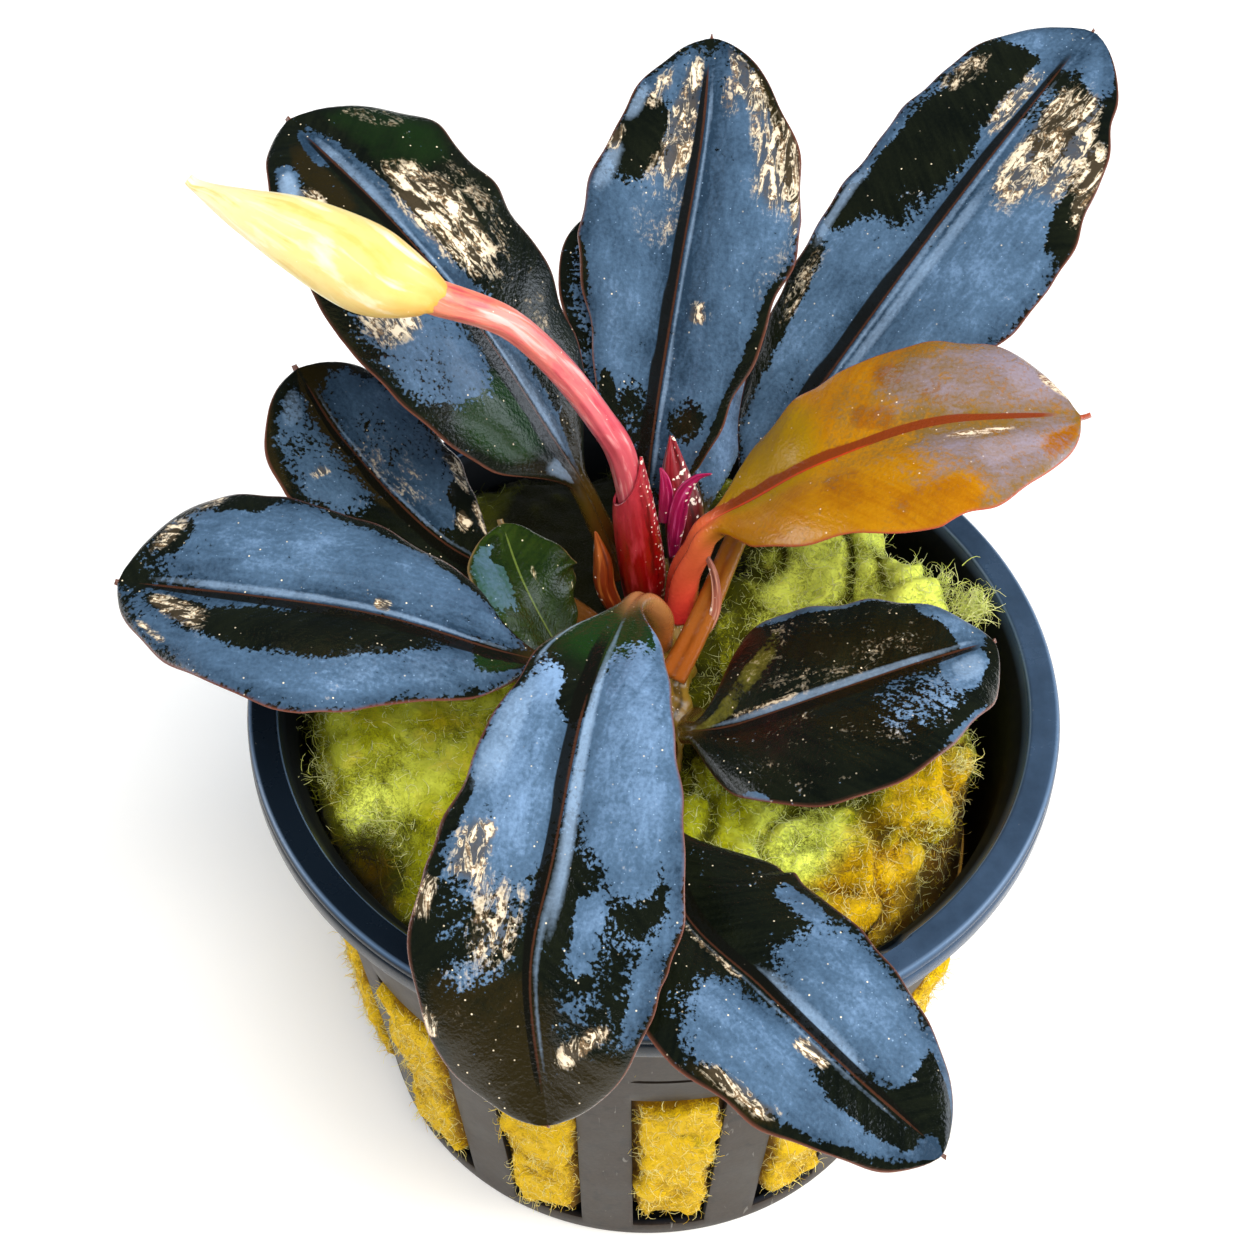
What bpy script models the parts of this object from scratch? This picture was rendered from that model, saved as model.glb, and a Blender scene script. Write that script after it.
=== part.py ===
"""Bucephalandra with one flower, planted in mineral wool in a black net pot.

The origin is the middle of the pot's underside, +Z is up and -Y is the front. The routes of leaves and
shoots are in millimetres from the middle of the pot's rim plane, so their heights are over the rim.
An azimuth is 0 at the front and grows towards +X.
"""

from collections import namedtuple
from math import cos, exp, hypot, pi, radians, sin, tan

import bmesh
import bpy
from mathutils import Vector

MM = 0.001

# Net pot
POT_HEIGHT = 37.5 * MM
RIM_RADIUS = 25.0 * MM
RIM_INNER_RADIUS = 22.5 * MM
RIM_THICKNESS = 0.9 * MM
RIM_ROUND = 0.5 * MM
FLAT_INNER_RADIUS = 23.3 * MM
CHAMFER_DEPTH = 0.7 * MM
SKIRT_HEIGHT = 2.1 * MM
SKIRT_WALL = 0.8 * MM
WALL = 0.6 * MM
WALL_TOP_RADIUS = 22.8 * MM
WALL_BASE_RADIUS = 18.5 * MM
FLOOR = 1.2 * MM
FOOT_ROUND = 0.4 * MM
POT_STEPS = 56

# Windows between the ribs, measured down from the rim, and the slots of the floor
RIB_COUNT = 14
RIB_WIDTH = 3.5 * MM
FIRST_RIB = radians(-7.5)
WINDOW_TOP = 14.0 * MM
WINDOW_BOTTOM = 35.8 * MM
CUT_INWARD = 2.5 * MM
CUT_OUTWARD = 2.0 * MM
DRAIN_COUNT = 7
DRAIN_INNER = 6.0 * MM
DRAIN_OUTER = 13.0 * MM
DRAIN_WIDTH = 2.4 * MM

# Wool
CLEARANCE = 0.35 * MM
WOOL_TOP = -1.6 * MM
WOOL_RADIUS = 20.8 * MM
WOOL_SWELL = 0.4 * MM
EDGE_DROP = 1.3 * MM
TROUGH_DEPTH = 3.2 * MM
TROUGH_REACH = 3.4 * MM
TROUGH_POINTS = 15
# Height in millimetres over the wool's underside, and the share of the full swelling there
WOOL_SIDE_ROWS = ((0.0, 0.0), (1.2, 0.0), (3.6, 1.0), (8.0, 0.9), (12.5, 1.0), (17.5, 1.0), (21.3, 0.0))
# Share of the way from the windows up to the top edge
WOOL_UPPER_ROWS = (0.5, 1.0)
# Share of the edge radius, and the drop in millimetres that rounds the edge
WOOL_TOP_ROWS = ((0.97, 0.3), (0.86, 0.0), (0.68, 0.0), (0.5, 0.0), (0.32, 0.0), (0.14, 0.0))
# Lumps of the wool's top: x, y, height and reach in millimetres
LUMPS = (
    (-14.0, -4.0, 1.2, 6.0),
    (-9.0, -14.0, -0.4, 5.0),
    (-17.5, -13.0, -5.0, 2.8),
    (-10.0, 13.0, 0.8, 5.0),
    (6.5, 12.5, 2.4, 4.0),
    (13.3, 11.6, 3.8, 4.3),
    (17.5, 6.5, 3.2, 3.5),
    (16.5, -3.0, 0.6, 4.0),
    (12.0, -13.0, -0.8, 5.5),
    (9.0, -17.0, -0.8, 4.0),
)

# Leaf blades and leaf stalks
LEAF_RINGS = 13
LEAF_SIDES = 12
ROUTE_POINTS = 52
RING_CROWDING = 0.05
TIP_SHARE = 0.995
STALK_RADIUS = 0.70 * MM
STALK_FADE = 0.25
BLADE_THICKNESS = 0.9 * MM
TIP_THINNING = 0.45
FLATTENING = (-0.05, 0.16)
BASE_POWER = 0.65
TIP_POWER = 0.55

# Half of a blade: its width in millimetres, where it is widest, and how full it is towards base and tip
Side = namedtuple("Side", "width widest base tip")
# A leaf: its route, the share of it that is stalk, its two halves and the angle that they fold up by
Leaf = namedtuple("Leaf", "name route stalk right left fold colour")
# A round shoot: its route and its radii in millimetres
Shoot = namedtuple("Shoot", "name route radii points colour roughness")

GREEN_BLACK = (0.012, 0.020, 0.016)
DEEP_GREEN = (0.030, 0.055, 0.012)
PINK_AMBER = (0.33, 0.15, 0.05)

LEAVES = (
    Leaf("leaf_front",
         ((0.2, 0.8, 3.2), (0.2, -0.6, 7.4), (-1.0, -2.5, 11.0), (-2.5, -7.2, 13.5), (-4.0, -13.0, 14.0),
          (-5.4, -20.7, 11.5), (-6.5, -26.0, 8.0), (-5.5, -31.0, 1.3)),
         0.23, Side(6.6, 0.62, 1.1, 2.4), Side(7.5, 0.61, 1.1, 2.2), 3, GREEN_BLACK),
    Leaf("leaf_front_right",
         ((0.5, -6.0, 1.5), (0.5, -10.5, 4.2), (1.4, -19.7, 5.5), (5.9, -25.4, 6.0), (10.4, -29.4, 4.5),
          (15.3, -32.8, 2.0)),
         0.26, Side(6.6, 0.50, 1.8, 1.3), Side(6.6, 0.35, 3.2, 2.7), 0, GREEN_BLACK),
    Leaf("leaf_right",
         ((2.6, -3.6, 1.0), (1.9, -6.6, 3.8), (4.8, -7.6, 6.0), (10.2, -6.7, 8.0), (15.8, -4.6, 8.5),
          (19.7, -2.4, 7.5)),
         0.20, Side(7.7, 0.45, 1.7, 1.2), Side(6.8, 0.34, 1.9, 1.7), 0, GREEN_BLACK),
    Leaf("leaf_young",
         ((1.3, 3.1, 3.4), (1.5, 3.2, 6.5), (2.2, 3.0, 9.0), (3.0, 2.7, 11.5), (5.8, 2.0, 15.0),
          (9.3, 1.9, 18.0), (15.7, 3.1, 20.0), (23.8, 4.8, 19.0)),
         0.27, Side(7.4, 0.57, 1.1, 1.2), Side(6.5, 0.63, 2.3, 3.4), 0, PINK_AMBER),
    Leaf("leaf_back_right",
         ((1.0, -1.9, 3.0), (2.1, -0.1, 4.2), (3.3, 2.2, 5.6), (4.7, 5.1, 7.5), (7.1, 9.1, 11.0),
          (13.2, 15.5, 17.5), (19.6, 23.2, 22.0), (26.7, 32.9, 24.5)),
         0.22, Side(8.2, 0.55, 1.4, 1.3), Side(6.7, 0.57, 1.9, 3.6), 0, GREEN_BLACK),
    Leaf("leaf_back",
         ((-0.3, 8.0, 3.5), (-0.5, 8.8, 7.5), (-0.3, 9.6, 12.0), (1.0, 15.4, 19.5), (2.3, 21.6, 25.0),
          (2.8, 27.7, 27.5)),
         0.08, Side(6.8, 0.652, 1.3, 1.2), Side(6.4, 0.557, 0.85, 1.8), 5, GREEN_BLACK),
    Leaf("leaf_back_under",
         ((2.2, 9.0, 2.6), (2.6, 10.4, 6.5), (1.0, 13.5, 12.0), (-1.4, 17.4, 16.5), (-4.4, 21.0, 19.5)),
         0.12, Side(5.2, 0.62, 2.0, 1.6), Side(5.0, 0.73, 1.4, 2.3), 2, GREEN_BLACK),
    Leaf("leaf_back_left",
         ((-2.2, 6.6, 3.0), (-3.4, 5.8, 8.0), (-5.4, 6.2, 13.2), (-11.1, 10.4, 21.0), (-16.3, 14.8, 25.0),
          (-22.1, 21.3, 26.0)),
         0.24, Side(7.0, 0.66, 2.2, 3.6), Side(7.8, 0.54, 1.9, 1.2), 0, GREEN_BLACK),
    Leaf("leaf_left_upper",
         ((-2.1, 1.2, 1.9), (-6.4, 2.8, 4.8), (-13.0, 4.4, 8.0), (-18.7, 8.8, 11.5), (-22.0, 12.9, 13.8)),
         0.32, Side(5.7, 0.61, 1.8, 3.4), Side(5.6, 0.66, 1.1, 1.3), 0, GREEN_BLACK),
    Leaf("leaf_left",
         ((-2.3, -2.7, 1.4), (-4.4, -5.0, 7.0), (-8.9, -6.5, 11.0), (-15.6, -5.7, 13.0), (-22.9, -4.8, 13.5),
          (-30.8, -2.7, 12.0)),
         0.28, Side(7.5, 0.63, 1.4, 4.2), Side(7.8, 0.50, 1.1, 1.2), 0, GREEN_BLACK),
    Leaf("leaf_small",
         ((-2.2, -0.7, 1.8), (-3.9, -1.9, 3.3), (-5.6, -2.2, 5.8), (-7.6, -0.8, 9.6), (-9.2, 2.8, 11.3)),
         0.30, Side(4.0, 0.54, 1.5, 1.9), Side(3.5, 0.64, 1.1, 1.4), 2, DEEP_GREEN),
)

RHIZOME = Shoot("rhizome",
                ((-1.6, -10.0, -2.8), (-0.8, -5.5, -1.0), (0.2, -1.0, 0.2), (0.6, 3.0, 0.9), (0.7, 8.5, 1.0)),
                (1.5, 2.0, 2.0, 2.0, 1.5), 9, (0.16, 0.10, 0.02), 0.35)
SHOOTS = (
    RHIZOME,
    Shoot("flower_stalk",
          ((-0.7, 4.3, 4.2), (-0.9, 4.1, 7.0), (-1.5, 4.5, 11.0), (-2.2, 4.7, 15.5), (-3.4, 4.6, 18.4),
           (-5.7, 4.6, 22.5), (-8.6, 4.1, 26.5), (-12.2, 3.4, 28.9)),
          (0.50, 0.55, 0.60, 0.66, 0.78, 0.82, 0.86, 0.95), 18, (0.62, 0.16, 0.17), 0.3),
    Shoot("spathe",
          ((-12.7, 3.4, 29.2), (-15.7, 3.7, 30.5), (-19.3, 4.7, 32.0), (-22.5, 5.6, 33.0),
           (-25.1, 6.7, 33.6)),
          (0.9, 2.3, 2.0, 1.0, 0.15), 11, (0.86, 0.72, 0.32), 0.35),
    Shoot("sheath_bud",
          ((1.7, 6.3, 3.8), (1.6, 6.8, 8.0), (1.0, 7.1, 11.0), (0.7, 7.7, 14.0)),
          (0.9, 1.15, 0.85, 0.10), 9, (0.20, 0.020, 0.022), 0.25),
    Shoot("prophyll_magenta",
          ((1.1, 4.7, 7.0), (1.2, 5.0, 10.0), (1.6, 4.9, 12.4), (2.4, 4.8, 14.0)),
          (0.15, 0.32, 0.28, 0.10), 8, (0.42, 0.010, 0.13), 0.25),
    Shoot("bud_small",
          ((-2.2, 3.1, 2.7), (-3.1, 3.2, 5.4), (-3.3, 3.5, 7.5), (-3.7, 3.6, 10.0)),
          (0.38, 0.55, 0.50, 0.08), 8, (0.40, 0.13, 0.02), 0.3),
)

# Sheath round the foot of the flower stalk
SHEATH_ROUTE = ((-0.7, 4.3, 3.6), (-0.9, 4.1, 6.5), (-1.5, 4.5, 11.0), (-2.2, 4.7, 15.0))
SHEATH_RADII = (1.25, 1.35, 1.40, 1.35)
SHEATH_WALL = 0.22 * MM
SHEATH_SIDES = 12
SHEATH_RINGS = 8
SHEATH_MOUTH = 3.2 * MM
SHEATH_RED = (0.45, 0.02, 0.03)


def material(name, colour, roughness):
    """Principled material of one colour; nothing on this plant or pot is metal."""
    made = bpy.data.materials.new(name)
    made.use_nodes = True
    shader = made.node_tree.nodes["Principled BSDF"]
    shader.inputs["Base Color"].default_value = (*colour, 1.0)
    shader.inputs["Roughness"].default_value = roughness
    shader.inputs["Metallic"].default_value = 0.0
    made.diffuse_color = (*colour, 1.0)
    return made


def add_object(name, data, collection):
    """Object of a mesh or curve, linked to a collection."""
    made = bpy.data.objects.new(name, data)
    collection.objects.link(made)
    return made


def mesh_of(name, bm):
    """Mesh of a finished bmesh, which is freed."""
    mesh = bpy.data.meshes.new(name)
    bm.to_mesh(mesh)
    bm.free()
    return mesh


def loft(name, rings, filled=True):
    """Smooth mesh of quads between rings of equal size, its two ends filled if it is a solid."""
    bm = bmesh.new()
    rows = [[bm.verts.new(point) for point in ring] for ring in rings]
    count = len(rows[0])
    for lower, upper in zip(rows, rows[1:]):
        for side in range(count):
            after = (side + 1) % count
            bm.faces.new((lower[side], lower[after], upper[after], upper[side]))
    for row in (rows[0], rows[-1]) if filled else ():
        middle = bm.verts.new(sum((vert.co for vert in row), Vector()) / count)
        for side in range(count):
            bm.faces.new((row[side], row[(side + 1) % count], middle))
    bmesh.ops.recalc_face_normals(bm, faces=bm.faces)
    mesh = mesh_of(name, bm)
    mesh.shade_smooth()
    mesh.set_sharp_from_angle(angle=radians(40))
    return mesh


def over_rim(point):
    """Point of a route, given in millimetres from the middle of the rim plane."""
    return Vector((point[0] * MM, point[1] * MM, POT_HEIGHT + point[2] * MM))


def around(radius, azimuth, z):
    """Point at a radius and azimuth round the pot's axis."""
    return Vector((radius * sin(azimuth), -radius * cos(azimuth), z))


def spread(knots, count):
    """Numbers or points along a Catmull-Rom curve through the knots, at even steps of its parameter."""
    knots = [2 * knots[0] - knots[1], *knots, 2 * knots[-1] - knots[-2]]
    spans = len(knots) - 3
    made = []
    for index in range(count):
        place = index / (count - 1) * spans
        span = min(int(place), spans - 1)
        s = place - span
        a, b, c, d = knots[span:span + 4]
        bend = 2 * a - 5 * b + 4 * c - d
        twist = 3 * b - a - 3 * c + d
        made.append(0.5 * (2 * b + (c - a) * s + bend * s ** 2 + twist * s ** 3))
    return made


def even_route(points, count):
    """Points spaced evenly by length along the smooth curve through a route."""
    fine = spread([over_rim(point) for point in points], 5 * ROUTE_POINTS)
    run = [0.0]
    for before, after in zip(fine, fine[1:]):
        run.append(run[-1] + (after - before).length)
    route = []
    place = 0
    for index in range(count):
        wanted = run[-1] * index / (count - 1)
        while place < len(fine) - 2 and run[place + 1] < wanted:
            place += 1
        share = (wanted - run[place]) / (run[place + 1] - run[place])
        route.append(fine[place].lerp(fine[place + 1], share))
    return route


def directions(route, side):
    """Tangent, side and normal at each point, the side kept as near to the given one as it can be."""
    made = []
    for index in range(len(route)):
        tangent = (route[min(index + 1, len(route) - 1)] - route[max(index - 1, 0)]).normalized()
        across = (side - tangent * side.dot(tangent)).normalized()
        made.append((tangent, across, across.cross(tangent)))
    return made


def smooth_step(low, high, value):
    """Smooth ramp from 0 at low to 1 at high."""
    share = min(max((value - low) / (high - low), 0.0), 1.0)
    return share * share * (3.0 - 2.0 * share)


def half_width(side, along):
    """Half width of a blade on one side, along running from 0 at its base to 1 at its tip."""
    if along <= 0.0 or along >= 1.0:
        return 0.0
    if along < side.widest:
        short = (side.widest - along) / side.widest
        return side.width * MM * (1.0 - short ** side.base) ** BASE_POWER
    past = (along - side.widest) / (1.0 - side.widest)
    return side.width * MM * (1.0 - past ** side.tip) ** TIP_POWER


def leaf_ring(leaf, centre, across, normal, along):
    """Closed section of a leaf, round in its stalk and a flat lens in its blade."""
    flat = smooth_step(*FLATTENING, along)
    least = STALK_RADIUS * (1.0 - smooth_step(STALK_FADE, 1.0, along))
    blade = 0.5 * BLADE_THICKNESS * (1.0 - TIP_THINNING * max(along, 0.0))
    thick = (1.0 - flat) * STALK_RADIUS + flat * blade
    ring = []
    for corner in range(LEAF_SIDES):
        angle = 2 * pi * corner / LEAF_SIDES
        reach = cos(angle)
        half = max(half_width(leaf.right if reach > 0 else leaf.left, along), least)
        lift = tan(radians(leaf.fold)) * abs(reach) * half * flat
        ring.append(centre + across * (reach * half) + normal * (sin(angle) * thick + lift))
    return ring


def add_leaf(leaf, collection):
    """Leaf with its stalk as one solid, its rings closer together near the foot and the tip."""
    route = even_route(leaf.route, ROUTE_POINTS)
    heading = route[-1] - route[0]
    frames = directions(route, Vector((heading.y, -heading.x, 0.0)).normalized())
    rings = []
    for index in range(LEAF_RINGS):
        share = index / (LEAF_RINGS - 1)
        share = TIP_SHARE * (share - RING_CROWDING * sin(2 * pi * share))
        place = share * (ROUTE_POINTS - 1)
        at = int(place)
        centre = route[at].lerp(route[at + 1], place - at)
        _, across, normal = frames[at]
        along = (share - leaf.stalk) / (1.0 - leaf.stalk)
        rings.append(leaf_ring(leaf, centre, across, normal, along))
    made = add_object(leaf.name, loft(leaf.name, rings), collection)
    made.data.materials.append(material(leaf.name, leaf.colour, 0.25))
    return made


def add_shoot(shoot, collection):
    """Round shoot as a beveled curve with a radius at each of its points."""
    curve = bpy.data.curves.new(shoot.name, "CURVE")
    curve.dimensions = "3D"
    curve.bevel_depth = MM
    curve.bevel_resolution = 3
    curve.use_fill_caps = True
    spline = curve.splines.new("POLY")
    spline.points.add(shoot.points - 1)
    places = spread([over_rim(point) for point in shoot.route], shoot.points)
    radii = spread(list(shoot.radii), shoot.points)
    for point, place, radius in zip(spline.points, places, radii):
        point.co = (*place, 1.0)
        point.radius = radius
    made = add_object(shoot.name, curve, collection)
    made.data.materials.append(material(shoot.name, shoot.colour, shoot.roughness))
    return made


def add_flower_sheath(collection):
    """Thin sheath round the flower stalk, its mouth cut at a slant to a point on the right."""
    route = even_route(SHEATH_ROUTE, SHEATH_RINGS)
    frames = directions(route, Vector((1.0, 0.0, 0.0)))
    radii = spread(list(SHEATH_RADII), SHEATH_RINGS)
    rings = []
    for index, (centre, frame, radius) in enumerate(zip(route, frames, radii)):
        tangent, across, normal = frame
        slant = SHEATH_MOUTH * (index / (SHEATH_RINGS - 1)) ** 3
        ring = []
        for corner in range(SHEATH_SIDES):
            angle = 2 * pi * corner / SHEATH_SIDES
            outward = across * cos(angle) + normal * sin(angle)
            ring.append(centre + outward * (radius * MM) - tangent * (slant * (1.0 - cos(angle)) / 2))
        rings.append(ring)
    sheath = add_object("sheath_flower", loft("sheath_flower", rings, filled=False), collection)
    sheath.data.materials.append(material("sheath_flower", SHEATH_RED, 0.25))
    shell = sheath.modifiers.new("Wall", "SOLIDIFY")
    shell.thickness = SHEATH_WALL
    shell.offset = -1.0
    return sheath


def wall_radius(z):
    """Outer radius of the pot's tapered wall at height z."""
    return WALL_BASE_RADIUS + (WALL_TOP_RADIUS - WALL_BASE_RADIUS) * z / POT_HEIGHT


def pot_profile():
    """Section of the pot from the middle of its floor, up the inside, over the rim and down the outside."""
    inside = POT_HEIGHT - 2 * CHAMFER_DEPTH
    skirt_inner = RIM_RADIUS - SKIRT_WALL
    skirt_bottom = POT_HEIGHT - SKIRT_HEIGHT
    rim_under = POT_HEIGHT - RIM_THICKNESS
    step = 0.1 * MM
    return (
        (0.0, FLOOR),
        (wall_radius(FLOOR) - WALL, FLOOR),
        (wall_radius(inside) - WALL, inside),
        (RIM_INNER_RADIUS, POT_HEIGHT - CHAMFER_DEPTH),
        (FLAT_INNER_RADIUS - step, POT_HEIGHT - step),
        (FLAT_INNER_RADIUS, POT_HEIGHT),
        (RIM_RADIUS - RIM_ROUND, POT_HEIGHT),
        (RIM_RADIUS - 0.25 * RIM_ROUND, POT_HEIGHT - 0.3 * RIM_ROUND),
        (RIM_RADIUS, POT_HEIGHT - RIM_ROUND),
        (RIM_RADIUS, skirt_bottom),
        (skirt_inner, skirt_bottom),
        (skirt_inner, rim_under),
        (wall_radius(rim_under), rim_under),
        (wall_radius(FOOT_ROUND), FOOT_ROUND),
        (wall_radius(0.0) - FOOT_ROUND, 0.0),
        (0.0, 0.0),
    )


def add_pot(collection, cutters):
    """Turned pot with its side windows and floor slots cut through."""
    bm = bmesh.new()
    corners = [bm.verts.new((radius, 0.0, z)) for radius, z in pot_profile()]
    for before, after in zip(corners, corners[1:]):
        bm.edges.new((before, after))
    pot = add_object("net_pot", mesh_of("net_pot", bm), collection)
    pot.data.materials.append(material("net_pot", (0.018, 0.019, 0.021), 0.38))
    turn = pot.modifiers.new("Turn", "SCREW")
    turn.angle = 2 * pi
    turn.steps = POT_STEPS
    turn.render_steps = POT_STEPS
    turn.use_merge_vertices = True
    turn.merge_threshold = 0.00001
    turn.use_smooth_shade = True
    cut = pot.modifiers.new("Openings", "BOOLEAN")
    cut.operation = "DIFFERENCE"
    cut.solver = "EXACT"
    cut.object = add_openings(cutters)
    return pot


def add_openings(cutters):
    """One cutter with a tapered block for each side window and a bar for each floor slot."""
    bm = bmesh.new()
    levels = (POT_HEIGHT - WINDOW_BOTTOM, POT_HEIGHT - WINDOW_TOP)
    for index in range(RIB_COUNT):
        azimuth = FIRST_RIB + 2 * pi * (index + 0.5) / RIB_COUNT
        across = Vector((cos(azimuth), sin(azimuth), 0.0))
        for vert in bmesh.ops.create_cube(bm, size=1.0)["verts"]:
            z = levels[vert.co.z > 0]
            radius = wall_radius(z) + (CUT_OUTWARD if vert.co.x > 0 else -CUT_INWARD)
            gap = 2 * wall_radius(z) * sin(pi / RIB_COUNT) - RIB_WIDTH
            vert.co = around(radius, azimuth, z) + across * (vert.co.y * gap)
    for index in range(DRAIN_COUNT):
        azimuth = 2 * pi * index / DRAIN_COUNT
        across = Vector((cos(azimuth), sin(azimuth), 0.0))
        for vert in bmesh.ops.create_cube(bm, size=1.0)["verts"]:
            radius = DRAIN_OUTER if vert.co.x > 0 else DRAIN_INNER
            z = 2 * FLOOR if vert.co.z > 0 else -FLOOR
            vert.co = around(radius, azimuth, z) + across * (vert.co.y * DRAIN_WIDTH)
    bmesh.ops.recalc_face_normals(bm, faces=bm.faces)
    cutter = add_object("openings", mesh_of("openings", bm), cutters)
    cutter.hide_render = True
    cutter.display_type = "WIRE"
    return cutter


def wool_height(x, y):
    """Height of the wool's lumpy top at a place in the pot, with a trough under the rhizome."""
    height = WOOL_TOP
    for lump_x, lump_y, lump, reach in LUMPS:
        far = hypot(x - lump_x * MM, y - lump_y * MM) / (reach * MM)
        height += lump * MM * exp(-far * far)
    height += 0.35 * MM * sin(x / (2.1 * MM) + 1.0) * sin(y / (2.6 * MM))
    for point in spread([over_rim(place) for place in RHIZOME.route], TROUGH_POINTS):
        far = hypot(x - point.x, y - point.y) / TROUGH_REACH
        if far < 1.0:
            bed = point.z - POT_HEIGHT - TROUGH_DEPTH
            height = min(height, bed + (height - bed) * far ** 4)
    return POT_HEIGHT + height


def wool_columns():
    """Azimuth of each column of the wool, and its share of the swelling through the windows."""
    pitch = 2 * pi / RIB_COUNT
    edge = (RIB_WIDTH / 2 + CLEARANCE + 0.1 * MM) / WALL_BASE_RADIUS
    offsets = ((0.0, 0.0), (edge, 0.0), (0.4 * pitch, 1.0), (0.6 * pitch, 1.0), (pitch - edge, 0.0))
    columns = []
    for index in range(RIB_COUNT):
        swell = 0.6 + 0.4 * sin(3.1 * index + 0.5)
        for offset, share in offsets:
            columns.append((FIRST_RIB + pitch * index + offset, share * swell))
    return columns


def inside_wall(point):
    """The point, drawn in where it would come too near the pot's wall."""
    reach = hypot(point.x, point.y)
    room = wall_radius(min(point.z, POT_HEIGHT)) - WALL - CLEARANCE
    if reach <= room:
        return point
    return Vector((point.x * room / reach, point.y * room / reach, point.z))


def wool_top(azimuth, inward=1.0, drop=0.0):
    """Place on the wool's top, inward being the share of its uneven edge radius at that azimuth."""
    ripple = 0.35 * sin(5 * azimuth + 0.7) + 0.25 * sin(11 * azimuth) - 0.8 * sin(azimuth)
    place = around((WOOL_RADIUS + ripple * MM) * inward, azimuth, 0.0)
    return inside_wall(Vector((place.x, place.y, wool_height(place.x, place.y) - drop)))


def wool_rings():
    """Closed sections of the wool from the pot's floor up its swollen sides and over its top."""
    columns = wool_columns()
    rings = []
    for height, swell in WOOL_SIDE_ROWS:
        z = FLOOR + CLEARANCE + height * MM
        ring = []
        for azimuth, share in columns:
            radius = wall_radius(z) - WALL - CLEARANCE
            if swell * share > 0.0:
                radius = wall_radius(z) + WOOL_SWELL * swell * share
            ring.append(around(radius, azimuth, z))
        rings.append(ring)
    shoulder = rings[-1]
    for share in WOOL_UPPER_ROWS:
        ring = []
        for low, (azimuth, _) in zip(shoulder, columns):
            ring.append(inside_wall(low.lerp(wool_top(azimuth, drop=EDGE_DROP), share)))
        rings.append(ring)
    for inward, drop in WOOL_TOP_ROWS:
        rings.append([wool_top(azimuth, inward, drop * MM) for azimuth, _ in columns])
    return rings


def add_wool(collection):
    """Wad of wool that fills the pot."""
    wool = add_object("wool", loft("wool", wool_rings()), collection)
    wool.data.materials.append(material("wool", (0.42, 0.42, 0.05), 0.95))
    return wool


def main():
    """Clears the scene and builds the potted plant."""
    for stale in list(bpy.data.objects):
        bpy.data.objects.remove(stale)
    plant = bpy.data.collections.new("bucephalandra")
    cutters = bpy.data.collections.new("cutters")
    for collection in (plant, cutters):
        bpy.context.scene.collection.children.link(collection)
    add_pot(plant, cutters)
    add_wool(plant)
    for leaf in LEAVES:
        add_leaf(leaf, plant)
    for shoot in SHOOTS:
        add_shoot(shoot, plant)
    add_flower_sheath(plant)


main()
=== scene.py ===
"""Bucephalandra in a net pot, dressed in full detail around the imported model.

Each sub-assembly is a class with its sizes in its fields. Lengths are millimetres until a mesh is made.
Heights in a route are over the pot's rim plane, as in the part's source, and an azimuth is 0 at the front
and grows towards +X.
"""

from __future__ import annotations

import logging
from collections.abc import Mapping, Sequence
from dataclasses import dataclass, field, replace
from enum import Enum
from itertools import product
from math import cos, pi, radians, sin

import bmesh
import bpy
import numpy as np
from mathutils import Matrix, Vector

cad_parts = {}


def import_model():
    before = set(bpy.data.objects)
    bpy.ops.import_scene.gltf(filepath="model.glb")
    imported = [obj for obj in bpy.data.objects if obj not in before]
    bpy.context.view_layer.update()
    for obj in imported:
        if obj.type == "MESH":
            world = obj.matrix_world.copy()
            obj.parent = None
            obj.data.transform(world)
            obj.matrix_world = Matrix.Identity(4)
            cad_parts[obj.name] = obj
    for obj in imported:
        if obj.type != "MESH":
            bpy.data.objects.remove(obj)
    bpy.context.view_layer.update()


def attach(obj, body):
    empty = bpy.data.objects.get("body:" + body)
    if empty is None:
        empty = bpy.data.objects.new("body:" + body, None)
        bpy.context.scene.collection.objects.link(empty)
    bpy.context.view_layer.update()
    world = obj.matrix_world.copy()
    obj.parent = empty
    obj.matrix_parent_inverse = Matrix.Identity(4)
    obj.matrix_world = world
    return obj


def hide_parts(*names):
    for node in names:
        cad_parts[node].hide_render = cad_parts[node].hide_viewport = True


LOG = logging.getLogger("bucephalandra")
MM = 0.001
ROOT = "root"
SEED = 7
Point = tuple[float, float, float]
Array = np.ndarray
Socket = bpy.types.NodeSocket
Tree = bpy.types.NodeTree
Material = bpy.types.Material
Strands = tuple[Array, Array, Array]

# Net pot
POT_HEIGHT = 37.5
RIM_RADIUS = 25.0
WALL = 0.6
WALL_TOP_RADIUS = 22.8
WALL_BASE_RADIUS = 18.5
POT_FLOOR = 1.2
RIB_COUNT = 14
RIB_WIDTH = 3.5
FIRST_RIB = radians(-7.5)
WINDOW_TOP = POT_HEIGHT - 14.0
WINDOW_BOTTOM = POT_HEIGHT - 35.8
PITCH = 2 * pi / RIB_COUNT


def wall_radius(z: Array | float) -> Array | float:
    """Outer radius of the pot's tapered wall at a height over its underside."""
    return WALL_BASE_RADIUS + (WALL_TOP_RADIUS - WALL_BASE_RADIUS) * z / POT_HEIGHT


def linear(code: str) -> tuple[float, float, float, float]:
    """Linear colour of an sRGB hex code.

    Args:
        code: six hex digits, with or without a leading hash.

    Returns:
        Red, green, blue and an alpha of 1.
    """
    digits = code.lstrip("#")
    shares = [int(digits[place:place + 2], 16) / 255 for place in (0, 2, 4)]
    return (*[c / 12.92 if c <= 0.04045 else ((c + 0.055) / 1.055) ** 2.4 for c in shares], 1.0)


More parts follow.
